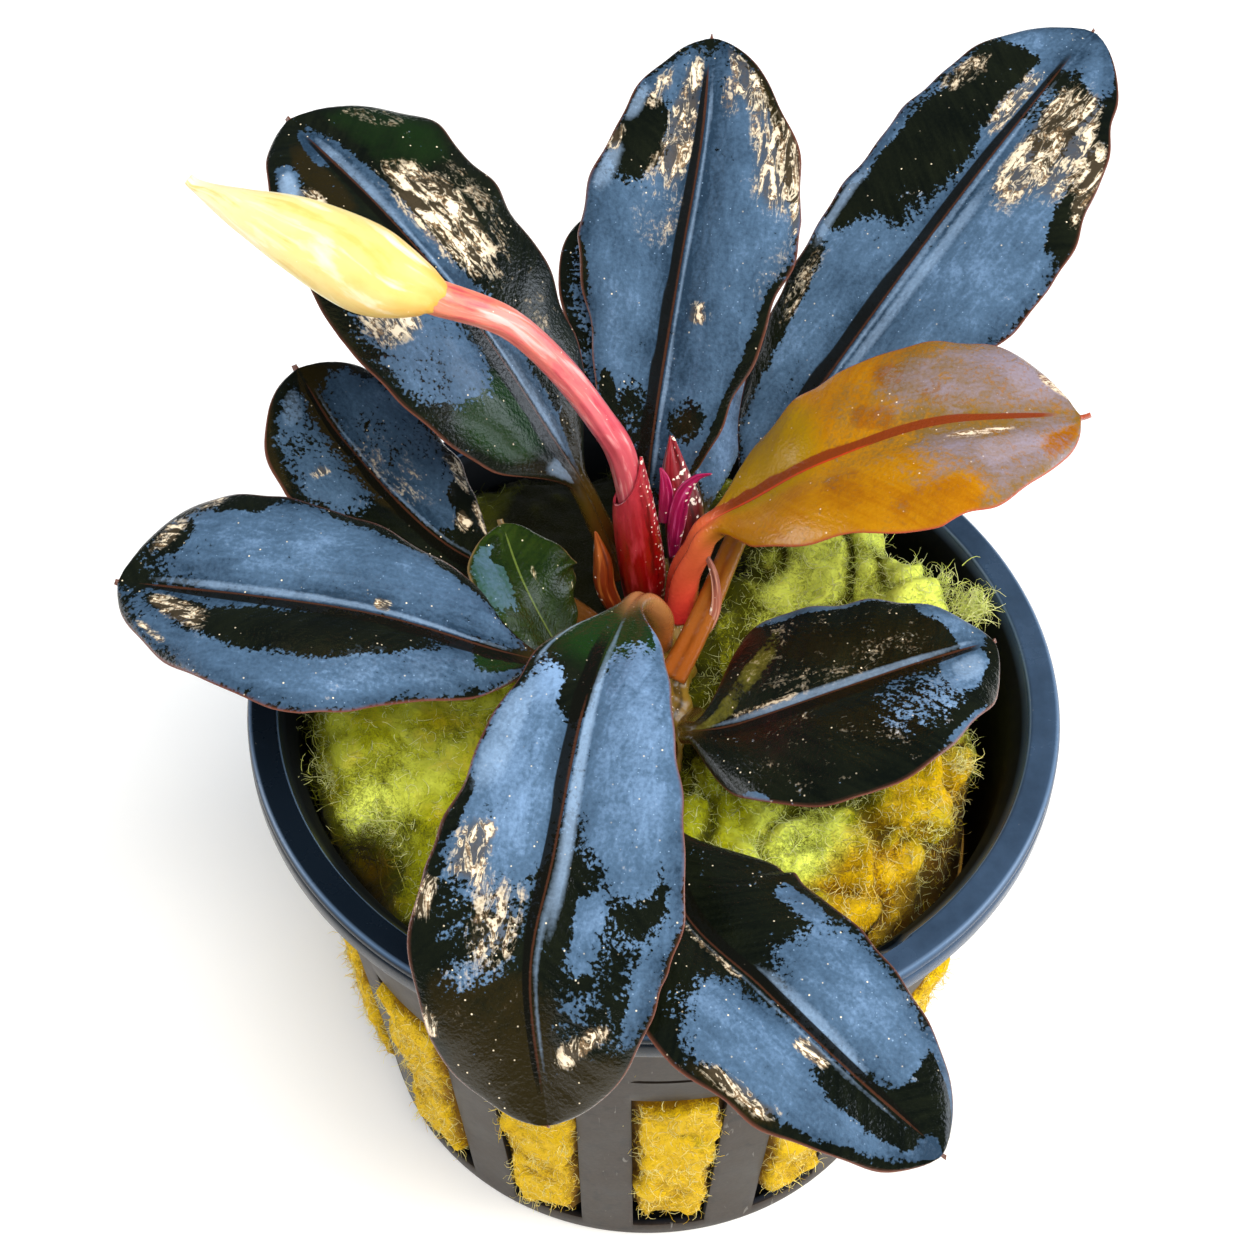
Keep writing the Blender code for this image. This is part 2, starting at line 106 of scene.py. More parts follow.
def ease(low: float, high: float, value: Array | float) -> Array:
    """Smooth ramp from 0 at low to 1 at high.

    Args:
        low: value where the ramp starts.
        high: value where it ends, which may be under low.
        value: where to read it.

    Returns:
        The ramp, from 0 to 1.
    """
    share = np.clip((np.asarray(value, float) - low) / (high - low), 0.0, 1.0)
    return share * share * (3.0 - 2.0 * share)


# Large odd numbers that scatter the cells of the noise
CELL_FACTORS = (73856093, 19349663, 83492791)
SEED_FACTOR = 2654435
MIX_FACTOR = 1274126177


def cloud(points: Array, cell: float, seed: int, octaves: int = 1) -> Array:
    """Smooth noise at points, the same on every run.

    Args:
        points: places in millimetres, in rows of three.
        cell: size of the largest lumps, in millimetres.
        seed: picks one of many patterns.
        octaves: how many times finer lumps at half the size are added.

    Returns:
        A number from about -1 to 1 for each point.
    """
    total = np.zeros(len(points))
    for octave in range(octaves):
        place = points / (cell / 2 ** octave)
        low = np.floor(place).astype(np.int64)
        part = place - low
        part = part * part * (3 - 2 * part)
        for corner in product((0, 1), repeat=3):
            at = low + corner
            mixed = np.bitwise_xor.reduce(at * CELL_FACTORS, axis=1) ^ (seed + octave) * SEED_FACTOR
            mixed = (mixed ^ (mixed >> 13)) * MIX_FACTOR
            level = ((mixed ^ (mixed >> 16)) & 0xFFFF) / 32767.5 - 1.0
            total += level * np.prod(np.where(corner, part, 1 - part), axis=1) / 2 ** octave
    return total


def through(knots: Array, count: int) -> Array:
    """Points on a Catmull-Rom curve through knots, at even steps of its parameter.

    Args:
        knots: numbers or points to pass through.
        count: how many points to return.

    Returns:
        The points, one row each.
    """
    knots = np.asarray(knots, float)
    held = np.concatenate([[2 * knots[0] - knots[1]], knots, [2 * knots[-1] - knots[-2]]])
    place = np.linspace(0, len(knots) - 1, count)
    span = np.minimum(place.astype(int), len(knots) - 2)
    s = (place - span).reshape(-1, *[1] * (held.ndim - 1))
    a, b, c, d = (held[span + step] for step in range(4))
    return 0.5 * (2 * b + (c - a) * s + (2 * a - 5 * b + 4 * c - d) * s ** 2
                  + (3 * b - a - 3 * c + d) * s ** 3)


def run_of(line: Array) -> Array:
    """Distance along a line up to each of its points."""
    return np.concatenate([[0.0], np.cumsum(np.linalg.norm(np.diff(line, axis=0), axis=1))])


def resample(line: Array, shares: Array) -> Array:
    """Points of a fine line at given shares of its length."""
    run = run_of(line)
    return np.stack([np.interp(shares * run[-1], run, line[:, axis]) for axis in range(3)], axis=1)


def unit(vectors: Array) -> Array:
    """Vectors at a length of 1."""
    return vectors / np.maximum(np.linalg.norm(vectors, axis=-1, keepdims=True), 1e-12)


def around(angle: Array, radius: Array | float, z: Array | float) -> Array:
    """Points round the pot's axis at azimuths, radii and heights."""
    return np.stack(np.broadcast_arrays(radius * np.sin(angle), -radius * np.cos(angle), z), axis=1)


def frames(line: Array, side: Sequence[float]) -> tuple[Array, Array, Array]:
    """Tangent, side and normal along a line, the side kept near the given one.

    Args:
        line: points of the line.
        side: the wanted side direction.

    Returns:
        Three arrays of unit vectors.
    """
    tangent = unit(np.gradient(line, axis=0))
    side = np.asarray(side, float)
    across = unit(side - tangent * (tangent @ side)[:, None])
    return tangent, across, np.cross(across, tangent)


def swept(centres: Array, across: Array, normal: Array, x: Array, z: Array) -> Array:
    """Rings of points beside a line.

    Args:
        centres: for each ring, the line's point or one for each point of the ring.
        across: the line's side direction at each ring.
        normal: the line's normal at each ring.
        x: how far each point lies to the side, one row for each ring.
        z: how far it lies along the normal.

    Returns:
        An array of rings, points and axes.
    """
    return centres + across[:, None, :] * x[..., None] + normal[:, None, :] * z[..., None]


def grid(rows: int, columns: int, closed: bool = True) -> Array:
    """Quads between the rows of a grid of points.

    Args:
        rows: rows of points.
        columns: points in a row.
        closed: whether a row is a closed ring.

    Returns:
        Indices of the quads' corners, four in a row.
    """
    row, column = np.meshgrid(np.arange(rows - 1), np.arange(columns - (not closed)), indexing="ij")
    here = (row * columns + column).ravel()
    after = (row * columns + (column + 1) % columns).ravel()
    return np.stack([here, after, after + columns, here + columns], axis=1)


def normals_of(points: Array, quads: Array) -> Array:
    """Unit normals of a grid's points, from the faces around them.

    Args:
        points: the grid's points.
        quads: the corners of its faces.

    Returns:
        A normal for each point.
    """
    corners = points[quads]
    face = np.cross(corners[:, 2] - corners[:, 0], corners[:, 3] - corners[:, 1])
    total = np.zeros_like(points)
    for corner in range(4):
        np.add.at(total, quads[:, corner], face)
    return unit(total)


def add_node(tree: Tree, kind: str, links: Mapping[str | int, object] | None = None,
             give: str | int = 0, stops: Sequence[tuple[float, str]] = (),
             **settings: object) -> Socket:
    """Adds a shader node with its settings and links.

    Args:
        tree: the material's node tree.
        kind: the node's type name, without the leading "ShaderNode".
        links: for each input, the output it is linked to or the value it holds.
        give: which of the node's outputs is wanted.
        stops: places and hex colours, where the node is a colour ramp.
        settings: the node's own properties.

    Returns:
        The wanted output.
    """
    node = tree.nodes.new("ShaderNode" + kind)
    for name, value in settings.items():
        setattr(node, name, value)
    if stops:
        ramp = node.color_ramp.elements
        while len(ramp) < len(stops):
            ramp.new(1.0)
        for element, (place, code) in zip(ramp, stops):
            element.position = place
            element.color = linear(code)
    for name, value in (links or {}).items():
        if isinstance(value, Socket):
            tree.links.new(value, node.inputs[name])
        else:
            node.inputs[name].default_value = value
    return node.outputs[give]


def share_of(tree: Tree, patterns: Mapping[Socket, float], low: float,
             high: float, most: float = 1.0) -> Socket:
    """Adds patterns up by weight and turns the sum into a share.

    Args:
        tree: the material's node tree.
        patterns: the weight of each pattern.
        low: sum that gives a share of 0.
        high: sum that gives the most.
        most: the largest share.

    Returns:
        The share.
    """
    total: object = 0.0
    for pattern, weight in patterns.items():
        total = add_node(tree, "Math", {0: pattern, 1: weight, 2: total}, operation="MULTIPLY_ADD")
    return add_node(tree, "MapRange", {"Value": total, "From Min": low, "From Max": high, "To Max": most})


def paint(tree: Tree, base: str | Socket, *coats: tuple[Socket | tuple, str | Socket]) -> Socket:
    """Lays coats of colour over a base, each by its own share.

    Args:
        tree: the material's node tree.
        base: the first colour, as a hex code or an output.
        coats: the share of each coat, or what share_of needs to make it, and its colour.

    Returns:
        The final colour.
    """
    colour: object = linear(base) if isinstance(base, str) else base
    for share, over in coats:
        share = share_of(tree, *share) if isinstance(share, tuple) else share
        over = linear(over) if isinstance(over, str) else over
        colour = add_node(tree, "Mix", {0: share, 6: colour, 7: over}, give=2, data_type="RGBA")
    return colour


def off_middle(tree: Tree, pattern: Socket) -> Socket:
    """How far a noise is from its middle value, which is least along thin winding lines."""
    offset = add_node(tree, "Math", {0: pattern, 1: 0.5}, operation="SUBTRACT")
    return add_node(tree, "Math", {0: offset}, operation="ABSOLUTE")


def millimetres(tree: Tree, stretch: Point = (1.0, 1.0, 1.0)) -> Socket:
    """Object coordinates in millimetres, each axis divided by a stretch.

    Args:
        tree: the material's node tree.
        stretch: size of a pattern along each axis, where its own scale is 1.

    Returns:
        The coordinates.
    """
    place = add_node(tree, "TexCoord", give="Object")
    return add_node(tree, "VectorMath", {0: place, 1: tuple(1 / (MM * axis) for axis in stretch)},
                    operation="MULTIPLY")


def own_values(tree: Tree, names: Sequence[str]) -> dict[str, Socket]:
    """The piece's own attributes by name."""
    return {name: add_node(tree, "Attribute", give="Fac", attribute_name=name) for name in names}


def dressed(made: Material, **sockets: object) -> Material:
    """Gives a material's Principled shader values, or outputs of nodes to follow.

    Args:
        made: the material.
        sockets: the value or output for each socket, underscores standing for spaces.

    Returns:
        The same material.
    """
    shader = made.node_tree.nodes["Principled BSDF"]
    for name, value in sockets.items():
        socket = shader.inputs[name.replace("_", " ")]
        if isinstance(value, Socket):
            made.node_tree.links.new(value, socket)
        else:
            socket.default_value = value
    return made


def new_material(name: str, **sockets: object) -> tuple[Material, Tree]:
    """Starts a material.

    Args:
        name: what the material is.
        sockets: uniform values of its shader, underscores standing for spaces.

    Returns:
        The material and its node tree.
    """
    made = bpy.data.materials.new(name)
    made.use_nodes = True
    return dressed(made, **sockets), made.node_tree


def placed(name: str, data: bpy.types.ID) -> bpy.types.Object:
    """Adds an object to the scene.

    Args:
        name: its name.
        data: its mesh, light or camera.

    Returns:
        The object.
    """
    made = bpy.data.objects.new(name, data)
    bpy.context.scene.collection.objects.link(made)
    return made


@dataclass
class Piece:
    """A visible piece before it becomes an object.

    Its points are in millimetres over the pot's underside, and its attributes hold one number a point.
    """

    name: str
    points: Array
    faces: Array | list
    material: Material
    slot: str
    node: str | None = None
    attributes: Mapping[str, Array] = field(default_factory=dict)
    crease: float = 180.0

    def add(self) -> None:
        """Makes the object, rides it on the plant's body and reports it."""
        mesh = bpy.data.meshes.new(self.name)
        faces = self.faces.tolist() if isinstance(self.faces, Array) else self.faces
        mesh.from_pydata((self.points * MM).tolist(), [], faces)
        for key, values in self.attributes.items():
            layer = mesh.attributes.new(key, "FLOAT", "POINT")
            layer.data.foreach_set("value", np.asarray(values, np.float32))
        mesh.shade_smooth()
        if self.crease < 180.0:
            mesh.set_sharp_from_angle(angle=radians(self.crease))
        mesh.materials.append(self.material)
        made = placed(self.name, mesh)
        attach(made, ROOT)
        if self.node:
            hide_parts(self.node)
        LOG.info("%s: %d faces", self.name, len(mesh.polygons))


def capped(rings: Array) -> tuple[Array, list]:
    """Points and faces of a closed loft through rings of equal size.

    Args:
        rings: an array of rings, points and axes.

    Returns:
        The points, with a pole at each end, and the faces.
    """
    count, size, _ = rings.shape
    points = np.concatenate([rings.reshape(-1, 3), rings[[0, -1]].mean(axis=1)])
    faces = grid(count, size).tolist()
    last = (count - 1) * size
    for side in range(size):
        after = (side + 1) % size
        faces.append([after, side, count * size])
        faces.append([last + side, last + after, count * size + 1])
    return points, faces


def with_poles(values: Mapping[str, Array]) -> dict[str, Array]:
    """Attributes of a capped loft from those of its rings: each pole has its ring's mean."""
    return {key: np.concatenate([value.ravel(), value[[0, -1]].mean(axis=1)])
            for key, value in values.items()}


LEAF_VALUES = ("sky_reflection", "pale", "glint", "olive", "green", "rib", "spine", "edge", "stalk", "sky", "run",
               "off", "slant")


@dataclass(frozen=True)
class LeafCuticle:
    """Waxed leaf skin, part of it under a film of water.

    The film makes the dark tissue look deep and glassy. Slate blue patches are a painted reflection of the
    sky, and cream wrinkles are painted glints off the water film. The sizes of the patterns are millimetres.
    """

    name: str
    deep: str
    tissue: str
    # Colours of the painted reflection of the sky, from dark to light
    sky_reflection_dark: str
    sky_reflection: str
    sky_reflection_light: str
    # Colour of the painted highlights
    pale: str
    # Colours of the painted glints off the water film: cream, a brown haze round them and a tan fill
    lime: str
    glint_haze: str
    olive: str
    green: str
    # Colour of the painted shade on the rib's flank
    rib: str
    spine: str
    edge: str
    stalk: str
    stalk_foot: str
    glint_fill_colour: str = "#8a7052"
    border: float = 0.15
    wet_roughness: float = 0.12
    reflection_roughness: float = 0.40
    coat: float = 0.12
    cloud_size: float = 5.0
    blotch_size: float = 2.2
    grain_size: float = 0.22
    vein_gap: float = 0.42
    vein_length: float = 2.8
    crest_gap: float = 0.66
    crest_length: float = 1.9
    bead_gap: float = 0.5
    dot_gap: float = 0.7

    def material(self) -> Material:
        """Makes the material, which reads the blade's own attributes.

        Returns:
            The material.
        """
        made, tree = new_material(self.name, Coat_Weight=self.coat, Coat_Roughness=0.08,
                                  Specular_IOR_Level=0.28)
        own = own_values(tree, LEAF_VALUES)
        place = millimetres(tree)
        blotch = add_node(tree, "TexNoise", {"Vector": place, "Scale": 1 / self.blotch_size, "Detail": 7.0,
                                             "Roughness": 0.72})
        grain = add_node(tree, "TexNoise", {"Vector": place, "Scale": 1 / self.grain_size, "Detail": 3.0})
        cloudy = add_node(tree, "TexNoise", {"Vector": place, "Scale": 1 / self.cloud_size, "Detail": 2.0})
        # Tissue and film are streaked along the side veins
        veinwise = add_node(tree, "CombineXYZ", {0: own["slant"], 1: own["off"]})
        fine, coarse = 1 / self.vein_gap, 1 / self.vein_length
        streaks = add_node(tree, "VectorMath", {0: veinwise, 1: (fine, coarse, 1.0)}, operation="MULTIPLY")
        streak = add_node(tree, "TexNoise", {"Vector": streaks, "Scale": 1.0, "Detail": 4.0,
                                             "Distortion": 0.3})
        # Painted glints off the water film lie in crests that run with the rib
        lengthwise = add_node(tree, "CombineXYZ", {0: own["run"], 1: own["off"]})
        coarse, fine = 1 / self.crest_length, 1 / self.crest_gap
        folds = add_node(tree, "VectorMath", {0: lengthwise, 1: (coarse, fine, 1.0)}, operation="MULTIPLY")
        wrinkle = add_node(tree, "TexNoise", {"Vector": folds, "Scale": 1.0, "Detail": 3.0,
                                              "Distortion": 1.3})
        beads = add_node(tree, "TexVoronoi", {"Vector": place, "Scale": 1 / self.bead_gap, "Randomness": 1.0})
        dots = add_node(tree, "TexVoronoi", {"Vector": place, "Scale": 1 / self.dot_gap})
        # Granular borders of the patches of painted sky reflection
        reflection_cover = share_of(tree, {own["sky_reflection"]: 1.0, blotch: 1.7, streak: 0.8, grain: 1.3},
                       2.4 - self.border / 2, 2.4 + self.border / 2)
        # Brightness of the painted sky reflection
        tone = share_of(tree, {own["sky"]: 1.0, blotch: 0.35, cloudy: 0.6, grain: 0.4, wrinkle: 0.4},
                        1.02, 1.76)
        blue = paint(tree, self.sky_reflection_dark, (({tone: 1.0}, 0.0, 0.5), self.sky_reflection),
                     (({tone: 1.0}, 0.5, 1.0), self.sky_reflection_light))
        # Painted glints off the water film: cream lines and crests, with a tan fill and a brown haze round
        # them
        film = share_of(tree, {own["glint"]: 1.0, blotch: 1.3, grain: 0.5}, 1.15, 1.75)
        offset = off_middle(tree, wrinkle)
        lines = share_of(tree, {offset: -1.0, blotch: 0.16, grain: 0.08}, 0.088, 0.118, 0.7)
        raised = {wrinkle: 1.0, blotch: 0.35, grain: 0.2, film: 0.06}
        glint_crests = share_of(tree, raised, 0.905, 0.935)
        marks = add_node(tree, "Math", {0: lines, 1: glint_crests}, operation="MAXIMUM")
        lime = add_node(tree, "Math", {0: marks, 1: film}, operation="MULTIPLY")
        glint_fill = add_node(tree, "Math", {0: share_of(tree, raised, 0.84, 0.90), 1: film},
                           operation="MULTIPLY")
        few = add_node(tree, "Math", {0: share_of(tree, {dots: -1.0}, -0.09, -0.05),
                                      1: share_of(tree, {cloudy: 1.0, blotch: 0.6}, 0.68, 0.90)},
                       operation="MULTIPLY")
        body = paint(tree, self.deep,
                     (({cloudy: 0.8, streak: 0.7, grain: 0.4}, 0.75, 1.2), self.tissue),
                     (({own["green"]: 1.0, blotch: 0.8}, 0.55, 1.25), self.green),
                     (({own["olive"]: 1.0, blotch: 1.4, grain: 0.4}, 1.15, 1.65), self.olive))
        stalk = paint(tree, self.stalk, (({own["run"]: -1.0}, 1.0, 9.0), self.stalk_foot))
        colour = paint(tree, body, (reflection_cover, blue),
                       # Painted highlights: fine sparkle in the painted sky reflection, pale patches and the
                       # highlight beside the rib
                       (({beads: -1.0, reflection_cover: 0.3, blotch: 0.1}, 0.26, 0.30, 0.5), self.pale),
                       (({own["pale"]: 1.0, grain: 0.3, blotch: 0.6}, 0.60, 1.9), self.pale),
                       (({film: 1.0, wrinkle: 1.0}, 0.75, 1.55, 0.85), self.glint_haze),
                       (glint_fill, self.glint_fill_colour), (lime, self.lime), (few, self.lime),
                       (({own["rib"]: 1.0, grain: 0.2}, 0.45, 0.65, 0.95), self.rib),
                       (({own["spine"]: 1.0, grain: 0.2}, 0.35, 0.55, 0.8), self.spine),
                       (own["stalk"], stalk), (own["edge"], self.edge))
        rough = add_node(tree, "MapRange", {"Value": reflection_cover, "To Min": self.wet_roughness,
                                            "To Max": self.reflection_roughness})
        relief = share_of(tree, {grain: 0.7, streak: 0.3, blotch: 0.5, lime: 0.6}, 0.0, 1.4)
        bump = add_node(tree, "Bump", {"Height": relief, "Strength": 0.6, "Distance": 0.18 * MM})
        return dressed(made, Base_Color=colour, Roughness=rough, Normal=bump)


@dataclass(frozen=True)
class StemTissue:
    """Smooth juicy stem skin: its colour changes from foot to tip, streaked along its length.

    Where its own water film lies, it glistens in bright flecks.
    """

    name: str
    foot: str
    middle: str
    tip: str
    streak: str
    dark: str
    glisten: str = "#fff0e2"
    roughness: float = 0.30
    coat: float = 0.15
    fleck: float = 0.45
    # Streaks are a fourteenth of the way round wide and 3.6 mm long
    streaks: Point = (2.2, 2.2, 0.28)
    mottle_size: float = 1.3
    grain_size: float = 0.15
    relief: float = 0.05

    def material(self) -> Material:
        """Makes the material, which reads how far along and where round the shoot a point is.

        Returns:
            The material.
        """
        made, tree = new_material(self.name, Roughness=self.roughness, Coat_Weight=self.coat,
                                  Coat_Roughness=0.1, Subsurface_Weight=0.10, Subsurface_Scale=0.5 * MM)
        own = own_values(tree, ("along", "run", "east", "north", "wet"))
        place = millimetres(tree)
        round_it = add_node(tree, "CombineXYZ", {0: own["east"], 1: own["north"], 2: own["run"]})
        drawn = add_node(tree, "VectorMath", {0: round_it, 1: self.streaks}, operation="MULTIPLY")
        streak = add_node(tree, "TexNoise", {"Vector": drawn, "Scale": 1.0, "Detail": 5.0, "Distortion": 0.4})
        mottle = add_node(tree, "TexNoise", {"Vector": place, "Scale": 1 / self.mottle_size, "Detail": 5.0})
        fine = add_node(tree, "TexNoise", {"Vector": place, "Scale": 1 / self.grain_size, "Detail": 2.0})
        cells = add_node(tree, "TexVoronoi", {"Vector": place, "Scale": 1 / self.fleck})
        wander = share_of(tree, {own["along"]: 1.0, mottle: 0.2, streak: 0.2}, 0.2, 1.2)
        ramp = add_node(tree, "ValToRGB", {"Fac": wander},
                        stops=((0.0, self.foot), (0.5, self.middle), (1.0, self.tip)))
        # Bright flecks are painted glints of the water film
        flecks = share_of(tree, {cells: -1.0, own["wet"]: 0.43, mottle: 0.55, fine: 0.60}, 0.60, 0.66)
        colour = paint(tree, ramp, (({streak: 1.0}, 0.52, 0.68, 0.7), self.streak),
                       (({streak: -1.0, mottle: -0.4}, -0.64, -0.50, 0.7), self.dark),
                       (flecks, self.glisten))
        relief = share_of(tree, {streak: 0.7, fine: 0.2, flecks: 0.3}, 0.0, 1.2)
        bump = add_node(tree, "Bump", {"Height": relief, "Strength": 0.6, "Distance": self.relief * MM})
        return dressed(made, Base_Color=colour, Normal=bump)


@dataclass(frozen=True)
class MouldedPolypropylene:
    """Black polypropylene, injection moulded: glossy navy black on the rim, dusty and scuffed on its ribs."""

    name: str = "polypropylene moulded black"
    fresh: str = "#0f1822"
    # Lighter colour of wear on the rim, also its painted sky reflection on the side at +X
    wear_and_reflection: str = "#3d526c"
    # Colour of the painted highlights along the flange's edges
    edge_highlight_colour: str = "#5b7390"
    shadow: str = "#07090b"
    grubby: str = "#272019"
    dust: str = "#463c35"
    smudge: str = "#1f1b19"
    scuff: str = "#8b8983"
    dust_size: float = 6.0
    smear_size: float = 1.6
    grain_size: float = 0.25
    scuff_down: Point = (0.35, 0.35, 3.2)
    scuff_round: Point = (2.4, 2.4, 0.22)

    def material(self) -> Material:
        """Makes the material: clean on the rim, dusty outside and scratched all over, with a painted sky
        reflection on the side at +X, painted highlights on the flange's edges and painted shade inside.

        Returns:
            The material.
        """
        made, tree = new_material(self.name, Specular_IOR_Level=0.28)
        own = own_values(tree, ("outside", "inside", "sky_reflection_side", "edge_highlights"))
        place = millimetres(tree)
        dust = add_node(tree, "TexNoise", {"Vector": place, "Scale": 1 / self.dust_size, "Detail": 6.0,
                                           "Roughness": 0.65})
        smears = add_node(tree, "TexNoise", {"Vector": place, "Scale": 1 / self.smear_size, "Detail": 6.0,
                                             "Roughness": 0.7, "Distortion": 0.8})
        # Scuffs are the crests of noise a third of a millimetre wide, drawn out down the wall or round it
        upright = add_node(tree, "TexNoise", {"Vector": millimetres(tree, self.scuff_down), "Scale": 1.0,
                                              "Detail": 4.0, "Distortion": 0.5})
        crosswise = add_node(tree, "TexNoise", {"Vector": millimetres(tree, self.scuff_round), "Scale": 1.0,
                                                "Detail": 3.0, "Distortion": 0.7})
        fine = add_node(tree, "TexNoise", {"Vector": place, "Scale": 1 / self.grain_size, "Detail": 2.0})
        scratch = share_of(tree, {upright: 1.0, dust: 0.5}, 0.93, 0.99, 0.55)
        across = share_of(tree, {crosswise: 1.0, smears: 0.4}, 0.89, 0.95, 0.5)
        outer = paint(tree, self.grubby, (({dust: 1.0, fine: 0.4}, 0.55, 0.9, 0.6), self.dust),
                      (({smears: -1.0}, -0.47, -0.36, 0.75), self.smudge),
                      (scratch, self.scuff), (across, self.smudge))
        # Wear lightens the rim at random, and a painted sky reflection lightens its side at +X
        wear_and_reflection_cover = share_of(tree, {dust: 1.0, smears: 0.2, own["sky_reflection_side"]: 0.7}, 0.75, 1.5, 0.9)
        rim = paint(tree, self.fresh, (wear_and_reflection_cover, self.wear_and_reflection), (own["edge_highlights"], self.edge_highlight_colour),
                    (({upright: 1.0, smears: 0.6}, 1.07, 1.12, 0.5), self.scuff))
        # Painted shade on the inside of the wall and on the floor
        colour = paint(tree, rim, (own["outside"], outer), (own["inside"], self.shadow))
        rough = share_of(tree, {dust: 0.5, own["outside"]: 0.25, own["inside"]: 0.6}, 0.0, 1.0)
        relief = share_of(tree, {fine: 0.5, scratch: -0.5, across: -0.5, smears: 0.4}, -1.0, 1.0)
        bump = add_node(tree, "Bump", {"Height": relief, "Strength": 0.4, "Distance": 0.05 * MM})
        return dressed(made, Base_Color=colour, Roughness=rough, Normal=bump)


@dataclass(frozen=True)
class MineralWool:
    """Spun mineral wool, grown through with algae: matt, soft, green in the light and gold lower down."""

    name: str
    green: str
    lime: str
    gold: str
    shade: str
    gold_shade: str
    bright: str
    gold_bright: str
    lift: float = 0.0
    # Near black of the deepest painted shade
    hollow: str = "#0c0b04"
    tuft_size: float = 2.4
    thread_size: float = 0.24

    def material(self) -> Material:
        """Makes the material, which reads how golden and lime each place is, its painted shade and its tone.

        Returns:
            The material.
        """
        made, tree = new_material(self.name, Roughness=0.85, Sheen_Weight=0.05, Specular_IOR_Level=0.1)
        own = own_values(tree, ("gold", "lime", "depth", "tone"))
        place = millimetres(tree)
        tufts = add_node(tree, "TexNoise", {"Vector": place, "Scale": 1 / self.tuft_size, "Detail": 6.0,
                                            "Roughness": 0.7, "Distortion": 0.6})
        # Single threads are about 0.01 mm thick, too fine to show, so they are drawn as 0.2 mm
        thread = add_node(tree, "TexNoise", {"Vector": place, "Scale": 1 / self.thread_size, "Detail": 3.0,
                                             "Distortion": 2.4})
        ridge = off_middle(tree, thread)
        warm = share_of(tree, {own["gold"]: 1.0, tufts: 1.3}, 0.85, 1.45)
        limy = share_of(tree, {own["lime"]: 1.0, tufts: 1.0}, 0.75, 1.35)
        base = paint(tree, self.green, (limy, self.lime), (warm, self.gold))
        deep = paint(tree, self.shade, (warm, self.gold_shade))
        light = paint(tree, self.bright, (warm, self.gold_bright))
        threads = share_of(tree, {ridge: -1.0, tufts: 0.3, own["tone"]: 0.25}, 0.15, 0.23, 0.85)
        # Painted shade in the pits between threads and tufts, and where the wool lies in shade
        shaded_pits = share_of(tree, {thread: -1.0, tufts: -1.4, own["depth"]: 1.2, warm: 0.04}, -1.12 + self.lift,
                        -0.60)
        colour = paint(tree, base, (threads, light), (shaded_pits, deep),
                       (({own["tone"]: 1.0, own["depth"]: -0.5}, 0.5, 0.95, 0.85), light),
                       (({own["depth"]: 1.0, tufts: -0.4}, 0.45, 0.95, 0.92), self.hollow))
        relief = share_of(tree, {thread: 0.5, tufts: 0.6, ridge: -0.8}, -0.5, 1.0)
        bump = add_node(tree, "Bump", {"Height": relief, "Strength": 0.9, "Distance": 0.35 * MM})
        return dressed(made, Base_Color=colour, Normal=bump)


class Zone(Enum):
    """What a patch on a blade shows: painted sky reflection, paler painted highlight, painted glints off the
    water film, olive or green tissue.
    """

    SHEEN = "sky_reflection"
    PALE = "pale"
    GLINT = "glint"
    OLIVE = "olive"
    GREEN = "green"


@dataclass(frozen=True)
class Patch:
    """Soft oval patch on a blade, in shares of the blade's length and half width.

    A negative strength takes away from the patches under it, and a turn is in degrees.
    """

    along: float
    across: float
    long: float
    wide: float
    strength: float = 1.0
    turn: float = 0.0

    def cover(self, along: Array, across: Array) -> Array:
        """How strongly the patch covers each place.

        Args:
            along: share of the blade's length.
            across: share of its half width, over 0 on its right.

        Returns:
            The cover, up to the patch's strength.
        """
        u = along - self.along
        v = across - self.across
        spin = radians(self.turn)
        x = (u * cos(spin) + HALF_WIDTH_SHARE * v * sin(spin)) / self.long
        y = (-u * sin(spin) / HALF_WIDTH_SHARE + v * cos(spin)) / self.wide
        far = (np.abs(x) ** 3 + np.abs(y) ** 3) ** (1 / 3)
        return self.strength * (1.0 - ease(0.65, 1.3, far))


@dataclass(frozen=True)
class Side:
    """Half of a blade: width in millimetres, where it is widest, and how full it is to base and tip."""

    width: float
    widest: float
    base: float
    tip: float

    def half_width(self, along: Array) -> Array:
        """Half width of the blade along it.

        Args:
            along: shares of the blade's length.

        Returns:
            Millimetres at each share, 0 past the blade's ends.
        """
        inside = np.clip(along, 0.0, 1.0)
        short = np.clip((self.widest - inside) / self.widest, 0.0, 1.0)
        past = np.clip((inside - self.widest) / (1.0 - self.widest), 0.0, 1.0)
        lower = (1.0 - short ** self.base) ** BASE_POWER
        upper = (1.0 - past ** self.tip) ** TIP_POWER
        return self.width * np.where(inside < self.widest, lower, upper) * ((along > 0) & (along < 1))


# A patch's turn is a real angle where a half width is this share of the blade's length
HALF_WIDTH_SHARE = 0.22
BASE_POWER = 0.65
TIP_POWER = 0.55
POINT_STEP = 0.004
POINT_RADIUS = 0.10
STALK_FADE = 0.25
FLATTENING = (-0.05, 0.16)
# Places across a half blade, closest together at the rib and at the margin
HALF_PLACES = (0.0, 0.02, 0.045, 0.075, 0.11, 0.16, 0.22, 0.30, 0.39, 0.48, 0.57, 0.66, 0.74, 0.82, 0.88,
               0.93, 0.965, 0.985, 0.996)


